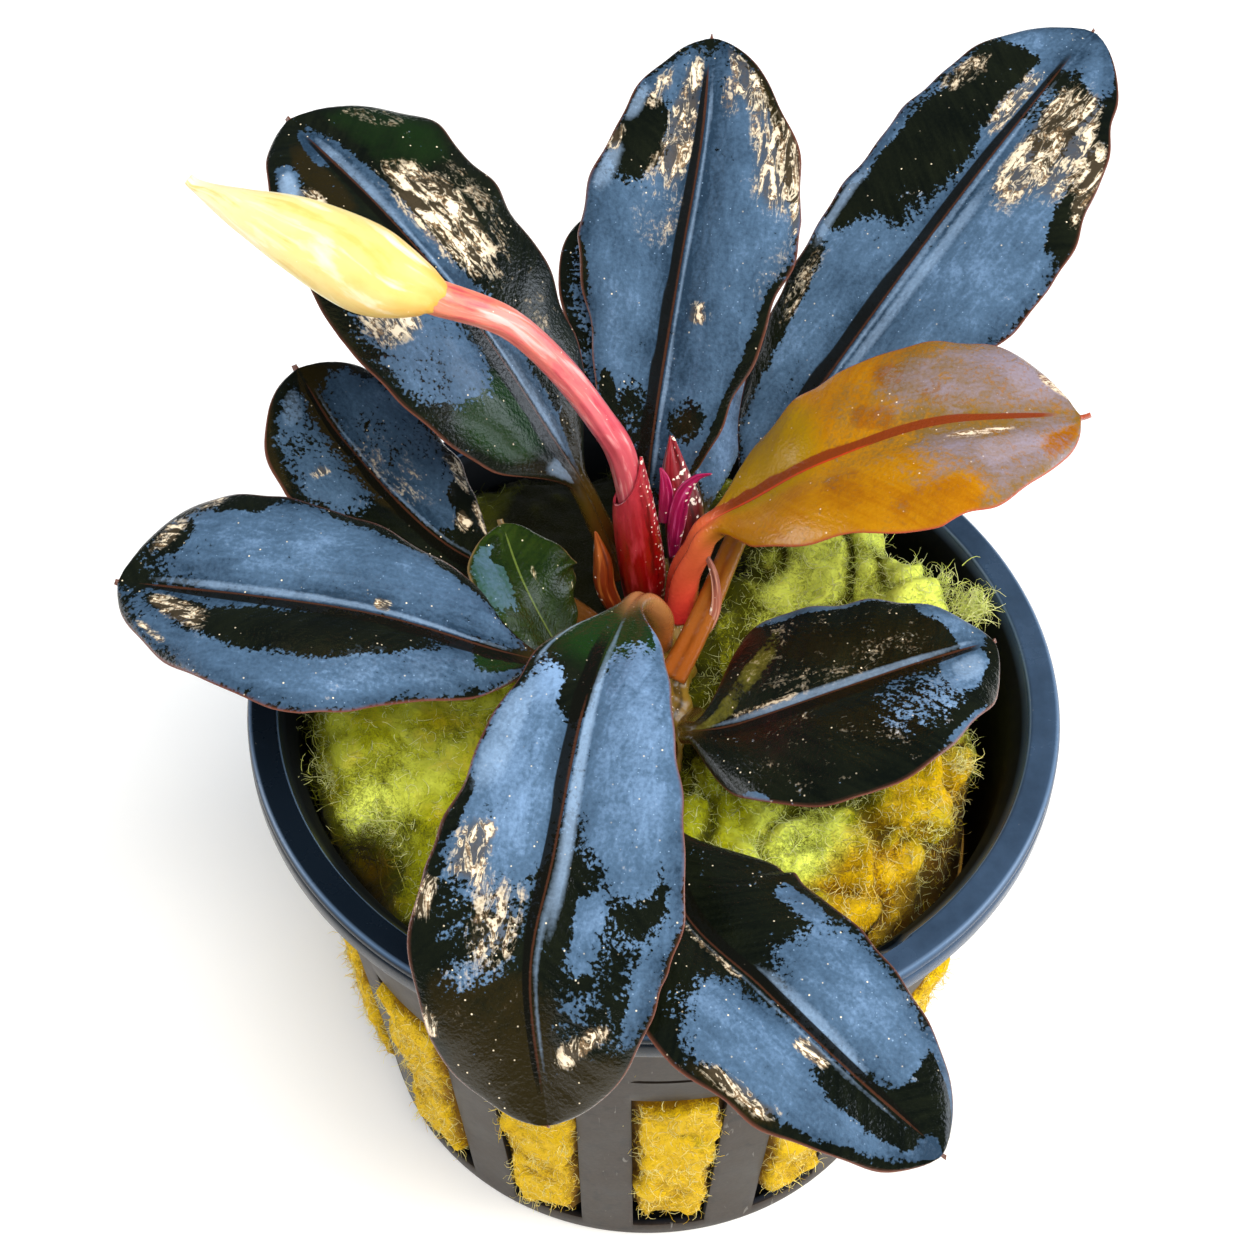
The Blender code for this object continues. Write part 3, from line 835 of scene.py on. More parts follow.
@dataclass
class Leaf:
    """A leaf with its stalk: rib, veins, rolled margin and the patches on its skin.

    Right and left are as seen along its route. Sizes are millimetres, and a turn is the length of margin in
    which a nick or wave turns by one radian. The rib's core shows between two shares of the blade.
    """

    node: str
    route: tuple[Point, ...]
    stalk: float
    right: Side
    left: Side
    fold: float
    cuticle: LeafCuticle
    slot: str = "dark_leaf"
    patches: Mapping[Zone, tuple[tuple[float, ...], ...]] = field(default_factory=dict)
    ruffle: float = 0.12
    waves: float = 5.0
    nicks: float = 0.05
    nick_turns: tuple[float, float] = (0.9, 0.53)
    wavy: float = 0.10
    wavy_turn: float = 0.95
    groove: float = 0.32
    rib_width: float = 0.55
    vein_height: float = 0.035
    vein_gap: float = 2.1
    camber: float = 0.045
    stalk_radius: float = 0.70
    thickness: float = 0.20
    margin: float = 0.09
    point: float = 0.35
    lit_side: int = 1
    # How bright the painted sky reflection is and how it rises to the tip, and how strong the painted
    # highlight beside the rib is
    sky: float = 0.5
    sky_rise: float = 0.0
    gleam: float = 0.6
    rib_shade_width: float = 0.35
    core_from: float = 0.0
    core_to: float = 1.1
    core_at: float = 0.04
    core_width: float = 0.07
    rib_highlight_at: float = 0.27
    rib_highlight_width: float = 0.13
    coloured_edge: tuple[float, float] = (0.14, 0.03)
    dim_by_rib: float = 1.3
    dim_by_edge: tuple[float, float] = (1.6, 0.2)
    rings: int = 150

    def centre_line(self) -> tuple[Array, Array]:
        """Line of the leaf from the stalk's foot to its point.

        Returns:
            Ring centres, and each one's share of the blade's length, under 0 on the stalk.
        """
        knots = np.array(self.route) + (0.0, 0.0, POT_HEIGHT)
        fine = through(knots, 400)
        even = np.linspace(0, 1, self.rings)
        shares = 0.998 * (even - 0.06 * np.sin(2 * pi * even) / 2)
        centres = resample(fine, shares)
        # A small hooked point stands past the tip
        steps = np.linspace(0.2, 1.0, 5)[:, None]
        way = unit(centres[-1] - centres[-4])
        hook = centres[-1] + self.point * (way * steps + (0.0, 0.0, 0.3) * steps ** 2)
        along = (shares - self.stalk) / (1.0 - self.stalk)
        return np.concatenate([centres, hook]), np.concatenate([along, 1.0 + POINT_STEP * steps.ravel()])

    def surface(self) -> tuple[Array, dict[str, Array]]:
        """Skin of the leaf, once round each ring from the right margin over the upper side.

        Returns:
            Rings of points, and the attributes of each point.
        """
        centres, along = self.centre_line()
        heading = centres[-1] - centres[0]
        _, across, normal = frames(centres, (heading[1], -heading[0], 0.0))
        half = np.array(HALF_PLACES)
        top = np.concatenate([[1.0], half[:0:-1], -half, [-1.0]])
        upper = np.concatenate([np.ones(len(top)), -np.ones(len(top) - 2)])
        upper[[0, len(top) - 1]] = 0.0
        a = along[:, None]
        t = np.concatenate([top, -top[1:-1]])[None, :]
        flat = ease(*FLATTENING, a)
        # The stalk widens into a clasping foot
        stem = self.stalk_radius * (1.0 + 0.35 * ease(0.0, -0.4, a))
        length = run_of(centres)[-1] * (1 - self.stalk)
        half_width = self.half_width(a, t, stem, length)
        reach = t * half_width
        slant = a * length - 0.75 * np.abs(reach)
        under = upper[None, :] < 0
        sheet = self.sheet(a, t, half_width, slant, upper[None, :])
        # The stalk is round, with a shallow channel along its upper side
        angle = np.arccos(np.clip(t, -1, 1)) * np.where(under, -1, 1)
        round_x = stem * np.cos(angle)
        hollow = 0.28 * np.exp(-(t / 0.35) ** 2)
        round_z = stem * np.where(under, np.sin(angle), 0.72 * np.sin(angle) - hollow)
        x = (1 - flat) * round_x + flat * reach
        z = (1 - flat) * round_z + flat * sheet
        points = swept(centres[:, None, :], across, normal, x, z)
        masks = self.masks(a, t, half_width, ~under)
        masks["edge"] = masks["edge"] * flat
        masks["run"] = np.broadcast_to(a * length, reach.shape)
        masks["slant"] = np.broadcast_to(slant, reach.shape)
        masks["off"] = reach
        return points, masks

    def half_width(self, a: Array, t: Array, stem: Array, length: float) -> Array:
        """Half width of the leaf at each point, with the small waves and nicks of its margin.

        Args:
            a: share of the blade's length.
            t: share of its half width, over 0 on its right.
            stem: radius of the stalk.
            length: the blade's length in millimetres.

        Returns:
            Millimetres.
        """
        least = stem * (1.0 - ease(STALK_FADE, 1.0, a))
        least = np.maximum(least, POINT_RADIUS * (1.0 - 0.75 * np.clip((a - 1.0) / POINT_STEP, 0.0, 1.0)))
        right = np.maximum(self.right.half_width(a), least)
        left = np.maximum(self.left.half_width(a), least)
        long, short = self.nick_turns
        notch = self.nicks * (np.sin(a * length / long) + np.sin(a * length / short))
        swing = self.wavy * np.sin(a * length / self.wavy_turn + 1.7 * np.sign(t)) * ease(0.1, 0.4, a)
        moved = (notch + swing * ease(1.0, 0.93, a)) * ease(*FLATTENING, a)
        return np.where(t > 0, right, left) + moved * np.sign(t) ** 2 * np.abs(t) ** 6

    def sheet(self, a: Array, t: Array, half_width: Array, slant: Array, upper: Array) -> Array:
        """Height of the blade's skin over the line of its rib.

        Args:
            a: share of the blade's length.
            t: share of its half width.
            half_width: the half width in millimetres.
            slant: how far along the blade its side vein leaves the rib, in millimetres.
            upper: 1 on the upper side, -1 on the lower and 0 at the margin.

        Returns:
            Millimetres.
        """
        reach = t * half_width
        rib = np.exp(-(reach / self.rib_width) ** 2)
        channel = np.exp(-(reach / (2.6 * self.rib_width)) ** 2)
        fade = ease(1.02, 0.75, a)
        thick = (self.thickness + self.margin * 0.3) * (1 - np.abs(t) ** 5) ** 0.5
        swell = 0.4 * self.stalk_radius * np.clip(1 - a, 0, 1) * rib * np.clip(fade, 0.15, 1)
        bowl = np.tan(radians(self.fold)) * np.abs(reach)
        camber = self.camber * half_width * (1 - (2 * np.abs(t) - 1) ** 2)
        wave = self.ruffle * np.abs(t) ** 3 * np.sin(2 * pi * self.waves * a + 1.3 * np.sign(t))
        vein = self.vein_height * np.cos(2 * pi * slant / self.vein_gap) * np.abs(t) * (1 - np.abs(t) ** 4)
        lift = bowl + camber + wave + vein - self.groove * channel * fade + 0.6 * self.groove * rib * fade
        below = -thick - 1.6 * swell - 0.3 * channel * fade
        return lift + np.where(upper < 0, below, thick * upper) * (upper != 0)

    def masks(self, a: Array, t: Array, half_width: Array, seen: Array) -> dict[str, Array]:
        """What the skin shows at each point.

        Args:
            a: share of the blade's length.
            t: share of its half width.
            half_width: the half width in millimetres.
            seen: whether the point is on the upper side.

        Returns:
            A share for each of the material's own values.
        """
        reach = t * half_width
        edge_far = (1 - np.abs(t)) * half_width
        masks = {zone.value: self.patch_field(zone, a, t) * seen for zone in Zone}
        beside = reach * self.lit_side
        # Painted shade: the rib's shaded flank is a dark band that narrows to the tip
        band = 0.18 + self.rib_shade_width * np.clip(1 - a, 0, 1)
        line = np.exp(-((beside + 0.80 * band) / band) ** 8) * ease(self.core_from - 0.4, self.core_from, a)
        core = np.exp(-((beside + self.core_at) / self.core_width) ** 2)
        core = core * ease(self.core_to, self.core_to - 0.12, a)
        core = core * ease(self.core_from - 0.15, self.core_from, a)
        # Painted highlight along the rib's lit flank
        rib_highlight = np.exp(-((beside - self.rib_highlight_at) / self.rib_highlight_width) ** 4)
        rib_highlight = rib_highlight * self.gleam * ease(0.02, 0.15, a) * ease(1.0, 0.8, a)
        masks["pale"] = np.maximum(masks["pale"], rib_highlight * (masks["sky_reflection"] * 0.5 + 0.5) * seen)
        masks["rib"] = line * ease(1.05, 0.80, a) * 0.95 * seen
        masks["spine"] = core * ease(1.02, 0.85, a) * 0.75 * seen
        masks["edge"] = ease(*self.coloured_edge, edge_far)
        # The painted sky reflection is darker beside the rib and at the margin
        thin = 0.30 * np.exp(-(reach / self.dim_by_rib) ** 2) + 0.22 * ease(*self.dim_by_edge, edge_far)
        masks["sky"] = self.sky + 0.12 - thin + self.sky_rise * (a - 0.5)
        masks["stalk"] = np.broadcast_to(ease(0.10, -0.03, a + 0.05 * np.abs(t)), reach.shape)
        return masks

    def patch_field(self, zone: Zone, along: Array, across: Array) -> Array:
        """Sum of the patches of a zone, each laid over those before it.

        Args:
            zone: what the patches show.
            along: share of the blade's length.
            across: share of its half width.

        Returns:
            The cover at each place of the blade, from 0 to 1.
        """
        total = np.zeros(np.broadcast(along, across).shape)
        for patch in self.patches.get(zone, ()):
            total = np.clip(total + Patch(*patch).cover(along, across), 0.0, 1.0)
        return total

    def build(self) -> None:
        """Builds the leaf in place of its solid."""
        rings, masks = self.surface()
        points, faces = capped(rings)
        Piece(f"{self.node}_blade", points, faces, self.cuticle.material(), self.slot, self.node,
              with_poles(masks)).add()


DARK = LeafCuticle(
    "leaf cuticle wet, near black", deep="#090d08", tissue="#171b10", sky_reflection_dark="#22364a", sky_reflection="#4a6581",
    sky_reflection_light="#7c9cc2", pale="#a6c4e6", lime="#f8e8ca", glint_haze="#4d4232", olive="#241e0b", green="#17300f",
    rib="#0d0d08", spine="#482a1c", edge="#6b4032", stalk="#4c3a12", stalk_foot="#5c2c12")
# Its olive, used on leaf_right, is painted light shining through the blade by its foot
DARK_BACKLIT = replace(DARK, name="leaf cuticle wet, near black, backlit by its foot", olive="#6e6a22")
DARK_TAN = replace(DARK, name="leaf cuticle wet, near black, tan stalk", stalk="#ae7648",
                   stalk_foot="#96501c")
DARK_AMBER = replace(DARK, name="leaf cuticle wet, near black, amber stalk", stalk="#84581a",
                     stalk_foot="#96501a")
GREEN = LeafCuticle(
    "leaf cuticle wet, olive green", deep="#10200a", tissue="#26380e", sky_reflection_dark="#2a4a3c", sky_reflection="#4f6a80",
    sky_reflection_light="#86a4c4", pale="#b4cde0", lime="#efe8c0", glint_haze="#3c4420", olive="#16240a", green="#30440f",
    rib="#1a2a0a", spine="#5f7030", edge="#7a6440", stalk="#4f5a1c", stalk_foot="#5a4a14",
    wet_roughness=0.16, coat=0.02)
YOUNG = LeafCuticle(
    "leaf cuticle wet, young amber", deep="#a46804", tissue="#b88008", sky_reflection_dark="#82561a", sky_reflection="#785c2c",
    sky_reflection_light="#877a84", pale="#b0a2b0", lime="#f2dcc0", glint_haze="#8a5a30", olive="#8a4a06", green="#9a7604",
    rib="#7a3010", spine="#c8401c", edge="#a04a30", stalk="#ee7444", stalk_foot="#d0282e", border=0.8,
    reflection_roughness=0.3)

SHEEN, PALE, GLINT, OLIVE, LEAF_GREEN = Zone

LEAVES = (
    Leaf(
        "leaf_front",
        ((0.2, 0.8, 3.2), (0.2, -0.6, 7.4), (-1.0, -2.5, 11.0), (-2.5, -7.2, 13.5), (-4.0, -13.0, 14.0),
         (-5.4, -20.7, 11.5), (-6.5, -26.0, 8.0), (-5.5, -31.0, 1.3)),
        0.23, Side(6.6, 0.62, 1.1, 2.4), Side(7.5, 0.61, 1.1, 2.2), 3, DARK_TAN,
        lit_side=-1, sky=0.48, sky_rise=-0.60, gleam=0.9, rib_shade_width=0.32, core_from=0.35,
        patches={
            SHEEN: ((0.355, -0.52, 0.2, 0.49), (0.42, 0.5, 0.19, 0.5), (0.19, 0.17, 0.14, 0.22, -1.0),
                (0.53, -0.6, 0.07, 0.2, 0.5), (0.35, -0.93, 0.3, 0.07), (0.66, -0.37, 0.07, 0.09, 0.8),
                (0.76, -0.88, 0.11, 0.1, 0.55), (0.5, 0.92, 0.05, 0.08, -1.0),
                (0.66, 0.45, 0.12, 0.45, 0.42), (0.74, -0.58, 0.16, 0.4, 0.36)),
            PALE: ((0.42, -0.1, 0.24, 0.05, 0.8), (0.37, 0.78, 0.1, 0.18, 0.45),
                (0.14, 0.88, 0.1, 0.04, 0.7)),
            GLINT: ((0.57, 0.66, 0.06, 0.17, 0.9), (0.66, 0.35, 0.07, 0.22, 0.5), (0.66, 0.92, 0.03, 0.08),
                (0.86, -0.44, 0.022, 0.26, 0.9, -30), (0.76, 0.4, 0.09, 0.4, 0.16),
                (0.81, 0.95, 0.025, 0.07)),
            OLIVE: ((0.95, 0.0, 0.08, 1.1), (0.82, 0.4, 0.09, 0.6, 0.7)),
            LEAF_GREEN: ((0.08, 0.0, 0.14, 1.2, 0.9),)}),
    Leaf(
        "leaf_front_right",
        ((0.5, -6.0, 1.5), (0.5, -10.5, 4.2), (1.4, -19.7, 5.5), (5.9, -25.4, 6.0), (10.4, -29.4, 4.5),
         (15.3, -32.8, 2.0)),
        0.26, Side(6.6, 0.50, 1.8, 1.3), Side(6.6, 0.35, 3.2, 2.7), 0, DARK, sky=0.38,
        patches={
            SHEEN: ((0.67, -0.5, 0.21, 0.46), (0.69, 0.45, 0.29, 0.42), (0.4, -0.8, 0.08, 0.12, 0.8),
                (0.91, -0.5, 0.06, 0.38, -1.0), (0.83, 0.27, 0.14, 0.19, -1.0, 8),
                (0.43, 0.9, 0.025, 0.1, -1.0), (0.57, 0.92, 0.025, 0.1, -1.0),
                (0.83, 0.92, 0.03, 0.09, -1.0), (0.92, -0.95, 0.1, 0.1), (0.975, 0.2, 0.03, 0.4)),
            PALE: ((0.62, -0.12, 0.16, 0.05, 0.6),),
            GLINT: ((0.665, 0.12, 0.04, 0.08), (0.62, 0.84, 0.08, 0.09, 0.9), (0.36, 0.06, 0.1, 0.03, 0.6)),
            OLIVE: ((0.62, 0.9, 0.1, 0.08, 0.6),)}),
    Leaf(
        "leaf_right",
        ((2.6, -3.6, 1.0), (1.9, -6.6, 3.8), (4.8, -7.6, 6.0), (10.2, -6.7, 8.0), (15.8, -4.6, 8.5),
         (19.7, -2.4, 7.5)),
        0.20, Side(7.7, 0.45, 1.7, 1.2), Side(6.8, 0.34, 1.9, 1.7), 0, DARK_BACKLIT, lit_side=-1, gleam=0.9,
        patches={
            SHEEN: ((0.93, -0.45, 0.06, 0.6), (0.87, -0.8, 0.06, 0.25, 0.8), (0.86, 0.36, 0.08, 0.28, 0.8),
                (0.5, -0.97, 0.22, 0.05), (0.73, 0.36, 0.19, 0.42, 0.46), (0.76, 0.95, 0.1, 0.05, 0.6),
                (0.92, 0.74, 0.05, 0.2, -1.0), (0.2, 0.97, 0.03, 0.05)),
            PALE: ((0.86, 0.35, 0.06, 0.2, 0.5), (0.5, -0.05, 0.36, 0.05, 0.6)),
            GLINT: ((0.5, -0.45, 0.4, 0.45, 0.19), (0.5, 0.5, 0.35, 0.4, 0.14),
                (0.25, -0.1, 0.1, 0.03, 0.35)),
            OLIVE: ((0.17, -0.36, 0.2, 0.16, 0.48, -22),)}),
    Leaf(
        "leaf_young",
        ((1.3, 3.1, 3.4), (1.5, 3.2, 6.5), (2.2, 3.0, 9.0), (3.0, 2.7, 11.5), (5.8, 2.0, 15.0),
         (9.3, 1.9, 18.0), (15.7, 3.1, 20.0), (23.8, 4.8, 19.0)),
        0.27, Side(7.4, 0.57, 1.1, 1.2), Side(6.5, 0.63, 2.3, 3.4), 0, YOUNG, slot="young_leaf",
        sky=0.42, sky_rise=1.0, gleam=0.15, core_to=0.55, stalk_radius=0.95, point=0.8,
        patches={
            SHEEN: ((0.93, 0.0, 0.35, 1.3, 0.95), (0.54, -0.3, 0.16, 0.5, 0.35),
                (0.6, 0.8, 0.09, 0.18, -0.8), (0.93, 0.62, 0.06, 0.25, -0.7)),
            PALE: ((0.8, 0.45, 0.1, 0.2, 0.5), (0.9, -0.5, 0.06, 0.3, 0.35)),
            GLINT: ((0.74, 0.17, 0.08, 0.05), (0.96, -0.7, 0.03, 0.15, 0.8)),
            OLIVE: ((0.61, -0.6, 0.08, 0.18, 0.8, 20), (0.51, -0.25, 0.06, 0.14, 0.7, 20),
                (0.68, -0.27, 0.07, 0.13, 0.8, 20), (0.6, 0.8, 0.14, 0.22, 0.4),
                (0.93, 0.62, 0.07, 0.25, 0.6), (0.4, 0.5, 0.08, 0.25, 0.4)),
            LEAF_GREEN: ((0.15, -0.4, 0.22, 0.6),)}),
    Leaf(
        "leaf_back_right",
        ((1.0, -1.9, 3.0), (2.1, -0.1, 4.2), (3.3, 2.2, 5.6), (4.7, 5.1, 7.5), (7.1, 9.1, 11.0),
         (13.2, 15.5, 17.5), (19.6, 23.2, 22.0), (26.7, 32.9, 24.5)),
        0.22, Side(8.2, 0.55, 1.4, 1.3), Side(6.7, 0.57, 1.9, 3.6), 0, DARK_AMBER, sky=0.38,
        sky_rise=0.15, rib_shade_width=0.42,
        patches={
            SHEEN: ((0.5, -0.5, 0.46, 0.55), (0.45, 0.5, 0.45, 0.5), (0.73, -0.5, 0.22, 0.36, -1.0),
                (0.3, -0.86, 0.14, 0.14, -1.0), (0.6, -0.6, 0.07, 0.26, -0.9), (0.96, -0.35, 0.055, 0.7),
                (0.84, -0.14, 0.12, 0.1, 0.9), (0.5, -0.82, 0.045, 0.16, -0.9),
                (0.72, 0.88, 0.13, 0.14, -1.0), (0.8, 0.42, 0.1, 0.2, -0.7), (0.95, 0.65, 0.07, 0.3)),
            PALE: ((0.45, 0.14, 0.2, 0.06, 0.6), (0.5, -0.9, 0.08, 0.05, 0.6)),
            GLINT: ((0.75, 0.32, 0.13, 0.18, 0.9), (0.78, 0.64, 0.12, 0.2, 0.8),
                (0.72, 0.92, 0.07, 0.07, 0.9), (0.81, -0.16, 0.08, 0.08, 0.8), (0.35, -0.8, 0.08, 0.12, 0.4),
                (0.82, -0.8, 0.05, 0.14, 0.6))}),
    Leaf(
        "leaf_back",
        ((-0.3, 8.0, 3.5), (-0.5, 8.8, 7.5), (-0.3, 9.6, 12.0), (1.0, 15.4, 19.5), (2.3, 21.6, 25.0),
         (2.8, 27.7, 27.5)),
        0.08, Side(6.8, 0.652, 1.3, 1.2), Side(6.4, 0.557, 0.85, 1.8), 5, DARK, sky=0.33,
        wavy=0.16,
        patches={
            SHEEN: ((0.5, -0.45, 0.5, 0.58), (0.52, 0.5, 0.5, 0.55), (0.765, -0.66, 0.09, 0.27, -1.0),
                (0.2, -0.4, 0.1, 0.4, -0.7, 30), (0.27, -0.82, 0.05, 0.1, -0.9),
                (0.5, -0.98, 0.05, 0.05, -1.0), (0.24, 0.45, 0.05, 0.28, -0.7, 30),
                (0.8, 0.9, 0.12, 0.11, -0.9), (0.28, 0.96, 0.28, 0.1, -1.0)),
            PALE: ((0.7, -0.88, 0.05, 0.08, 0.6), (0.84, -0.88, 0.04, 0.08, 0.6)),
            GLINT: ((0.83, -0.25, 0.13, 0.17, 0.85), (0.76, -0.92, 0.03, 0.08, 0.8),
                (0.66, -0.3, 0.1, 0.25, 0.35), (0.45, 0.27, 0.022, 0.12, 0.8), (0.63, 0.8, 0.16, 0.16, 0.25),
                (0.88, -0.66, 0.05, 0.12, 0.6), (0.87, 0.3, 0.045, 0.12, 0.6), (0.76, 0.72, 0.1, 0.2, 0.6),
                (0.91, 0.64, 0.07, 0.22, 0.8), (0.74, 0.94, 0.12, 0.05, 0.8)),
            OLIVE: ((0.23, 0.45, 0.035, 0.25, 0.5), (0.88, 0.85, 0.08, 0.1, 0.7))}),
    Leaf(
        "leaf_back_under",
        ((2.2, 9.0, 2.6), (2.6, 10.4, 6.5), (-0.2, 13.5, 12.0), (-1.4, 17.4, 16.5), (-4.4, 21.0, 19.5)),
        0.12, Side(6.2, 0.50, 2.2, 1.5), Side(5.0, 0.73, 2.8, 2.3), 2, DARK,
        patches={
            SHEEN: ((0.35, 0.5, 0.32, 0.6), (0.6, -0.4, 0.3, 0.6, 0.6))}),
    Leaf(
        "leaf_back_left",
        ((-2.2, 6.6, 3.0), (-3.4, 5.8, 8.0), (-5.4, 6.2, 13.2), (-11.1, 10.4, 21.0), (-16.3, 14.8, 25.0),
         (-22.1, 21.3, 26.0)),
        0.24, Side(7.0, 0.66, 2.2, 3.6), Side(7.8, 0.54, 1.9, 1.2), 0, DARK, sky=0.30,
        patches={
            SHEEN: ((0.24, 0.14, 0.28, 0.12, 0.8), (0.62, 0.1, 0.34, 0.09), (0.43, -0.5, 0.15, 0.42, 0.82),
                (0.9, -0.1, 0.06, 0.14), (0.83, -0.72, 0.06, 0.16)),
            PALE: ((0.05, -0.4, 0.04, 0.4, 0.6), (0.2, 0.1, 0.14, 0.05, 0.3), (0.83, -0.72, 0.04, 0.12, 0.8),
                (0.78, 0.05, 0.14, 0.06, 0.5)),
            GLINT: ((0.51, -0.6, 0.05, 0.25, 0.8), (0.62, 0.36, 0.16, 0.22, 0.8),
                (0.6, 0.7, 0.12, 0.18, 0.4), (0.78, -0.6, 0.04, 0.15, 0.8), (0.9, 0.72, 0.05, 0.18, 0.4),
                (0.35, 0.6, 0.12, 0.3, 0.2)),
            OLIVE: ((0.82, -0.35, 0.12, 0.22, 0.8), (0.1, 0.5, 0.06, 0.3, 0.6)),
            LEAF_GREEN: ((0.22, -0.45, 0.1, 0.4, 0.9), (0.84, 0.62, 0.13, 0.35, 0.45))}),
    Leaf(
        "leaf_left_upper",
        ((-2.1, 1.2, 1.9), (-6.4, 2.8, 4.8), (-13.0, 4.4, 8.0), (-18.7, 8.8, 11.5), (-22.0, 12.9, 13.8)),
        0.32, Side(5.7, 0.61, 1.8, 3.4), Side(5.6, 0.66, 1.1, 1.3), 0, DARK, sky=0.30,
        patches={
            SHEEN: ((0.72, -0.5, 0.24, 0.38, 0.68), (0.62, 0.45, 0.34, 0.48, 0.78),
                (0.38, 0.3, 0.14, 0.26, 0.8), (0.28, 0.66, 0.07, 0.16, -1.0)),
            PALE: ((0.88, -0.5, 0.06, 0.2, 0.4),),
            GLINT: ((0.22, 0.5, 0.04, 0.14), (0.17, 0.85, 0.06, 0.12, 0.9), (0.38, 0.86, 0.1, 0.1, 0.8),
                (0.55, 0.25, 0.2, 0.25, 0.4), (0.66, -0.5, 0.02, 0.08, 0.8)),
            OLIVE: ((0.6, 0.25, 0.35, 0.5, 0.7), (0.75, -0.15, 0.3, 0.09, 0.9),
                (0.8, -0.95, 0.15, 0.08, 0.7), (0.95, 0.5, 0.06, 0.5, 0.8), (0.5, 0.92, 0.15, 0.08, 0.6))}),
    Leaf(
        "leaf_left",
        ((-2.3, -2.7, 1.4), (-4.4, -5.0, 7.0), (-8.9, -6.5, 11.0), (-15.6, -5.7, 13.0), (-22.9, -4.8, 13.5),
         (-30.8, -2.7, 12.0)),
        0.28, Side(7.5, 0.63, 1.4, 4.2), Side(7.8, 0.50, 1.1, 1.2), 0, DARK, sky=0.33,
        patches={
            SHEEN: ((0.5, -0.5, 0.48, 0.52), (0.5, 0.48, 0.46, 0.48), (0.53, -0.31, 0.28, 0.24, -1.0, -6),
                (0.11, -0.3, 0.06, 0.3, -0.9), (0.22, 0.93, 0.08, 0.1, -1.0), (0.45, 0.95, 0.1, 0.07, -1.0),
                (0.78, 0.86, 0.06, 0.1, -1.0), (0.9, 0.55, 0.03, 0.18, -0.8),
                (0.84, -0.3, 0.07, 0.12, -0.9)),
            PALE: ((0.5, 0.06, 0.4, 0.03, 0.6), (0.3, -0.6, 0.2, 0.25, 0.2)),
            GLINT: ((0.82, -0.36, 0.08, 0.16, 1.0, 12), (0.86, -0.8, 0.05, 0.06, 0.8),
                (0.385, 0.13, 0.02, 0.08), (0.93, 0.6, 0.03, 0.22, 0.8), (0.86, 0.92, 0.03, 0.06, 0.8)),
            OLIVE: ((0.03, 0.6, 0.04, 0.4, 0.6),),
            LEAF_GREEN: ((0.11, -0.3, 0.06, 0.3, 0.9),)}),
    Leaf(
        "leaf_small",
        ((-2.2, -0.7, 1.8), (-3.9, -1.9, 3.3), (-5.6, -2.2, 5.8), (-7.6, -0.8, 9.6), (-9.2, 2.8, 11.3)),
        0.30, Side(4.0, 0.54, 1.5, 1.9), Side(3.5, 0.64, 1.1, 1.4), 2, GREEN, slot="green_leaf", sky=0.3,
        gleam=0.1,
        patches={
            SHEEN: ((0.7, -0.62, 0.17, 0.34), (0.8, -0.4, 0.05, 0.18, -1.0)),
            GLINT: ((0.41, 0.78, 0.03, 0.06), (0.63, 0.22, 0.08, 0.03, 0.8)),
            OLIVE: ((0.86, -0.5, 0.08, 0.25, 0.9), (0.4, 0.5, 0.2, 0.2, 0.5))}),
)


def stem_values(run: Array, along: Array, angle: Array, wet_side: float, wet: float) -> dict[str, Array]:
    """What a stem's skin reads at each point.

    Args:
        run: millimetres along it, for each ring.
        along: share of its length, for each ring.
        angle: place round it, for each point of a ring.
        wet_side: degrees round it where its water film lies.
        wet: how wet that side is.

    Returns:
        The attributes, one row for each ring.
    """
    side = ease(-0.2, 0.9, np.cos(angle - radians(wet_side))) * wet
    values = {"along": along[:, None], "run": run[:, None], "east": np.cos(angle), "north": np.sin(angle),
              "wet": side}
    return {key: np.broadcast_to(value, (len(run), len(angle))) for key, value in values.items()}


@dataclass
class Shoot:
    """A round shoot: its route, radii and skin, with fine ridges and a rolled leaf's seam along it."""

    name: str
    route: tuple[Point, ...]
    radii: tuple[float, ...]
    tissue: StemTissue
    slot: str
    solid: bool = True
    ridges: int = 5
    ridge_height: float = 0.03
    lumps: float = 0.0
    flatten: float = 1.0
    seam: float = 0.0
    seam_side: float = 120.0
    wet: float = 0.3
    wet_side: float = 20.0
    open_end: bool = False
    sides: int = 36
    rings: int = 90

    def course(self) -> tuple[Array, Array, Array, Array, Array]:
        """Course of the shoot.

        Returns:
            Its line, its radii, each ring's share of its length, the places round a ring and how far past
            the seam each of them is.
        """
        line = through(np.array(self.route) + (0.0, 0.0, POT_HEIGHT), self.rings)
        radius = through(np.array(self.radii), self.rings)
        angle = np.linspace(0, 2 * pi, self.sides, endpoint=False)
        past_seam = np.mod(angle - radians(self.seam_side), 2 * pi) / (2 * pi)
        return line, radius, np.linspace(0, 1, self.rings), angle, past_seam

    def build(self) -> None:
        """Builds the shoot, in place of its solid where it has one."""
        line, radius, share, angle, past_seam = self.course()
        _, across, normal = frames(line, (1.0, 0.0, 0.0))
        rounding = np.sqrt(np.clip(1 - np.clip((share - 0.97) / 0.03, 0, 1) ** 2, 0.04, 1))
        reach = radius if self.open_end else radius * rounding
        step = self.seam * (1 - past_seam) * np.minimum(reach, 1.0)[:, None]
        size = reach[:, None] + self.ridge_height * np.cos(self.ridges * angle)[None, :] + step
        points = swept(line[:, None, :], across, normal, size * np.cos(angle),
                       size * self.flatten * np.sin(angle))
        if self.lumps:
            push = cloud(points.reshape(-1, 3), 1.1, 5, 3).reshape(size.shape) * self.lumps
            points = points + unit(points - line[:, None, :]) * push[..., None]
        values = stem_values(run_of(line), share, angle, self.wet_side, self.wet)
        points, faces = capped(points)
        Piece(f"{self.name}_skin", points, faces, self.tissue.material(), self.slot,
              self.name if self.solid else None, with_poles(values)).add()


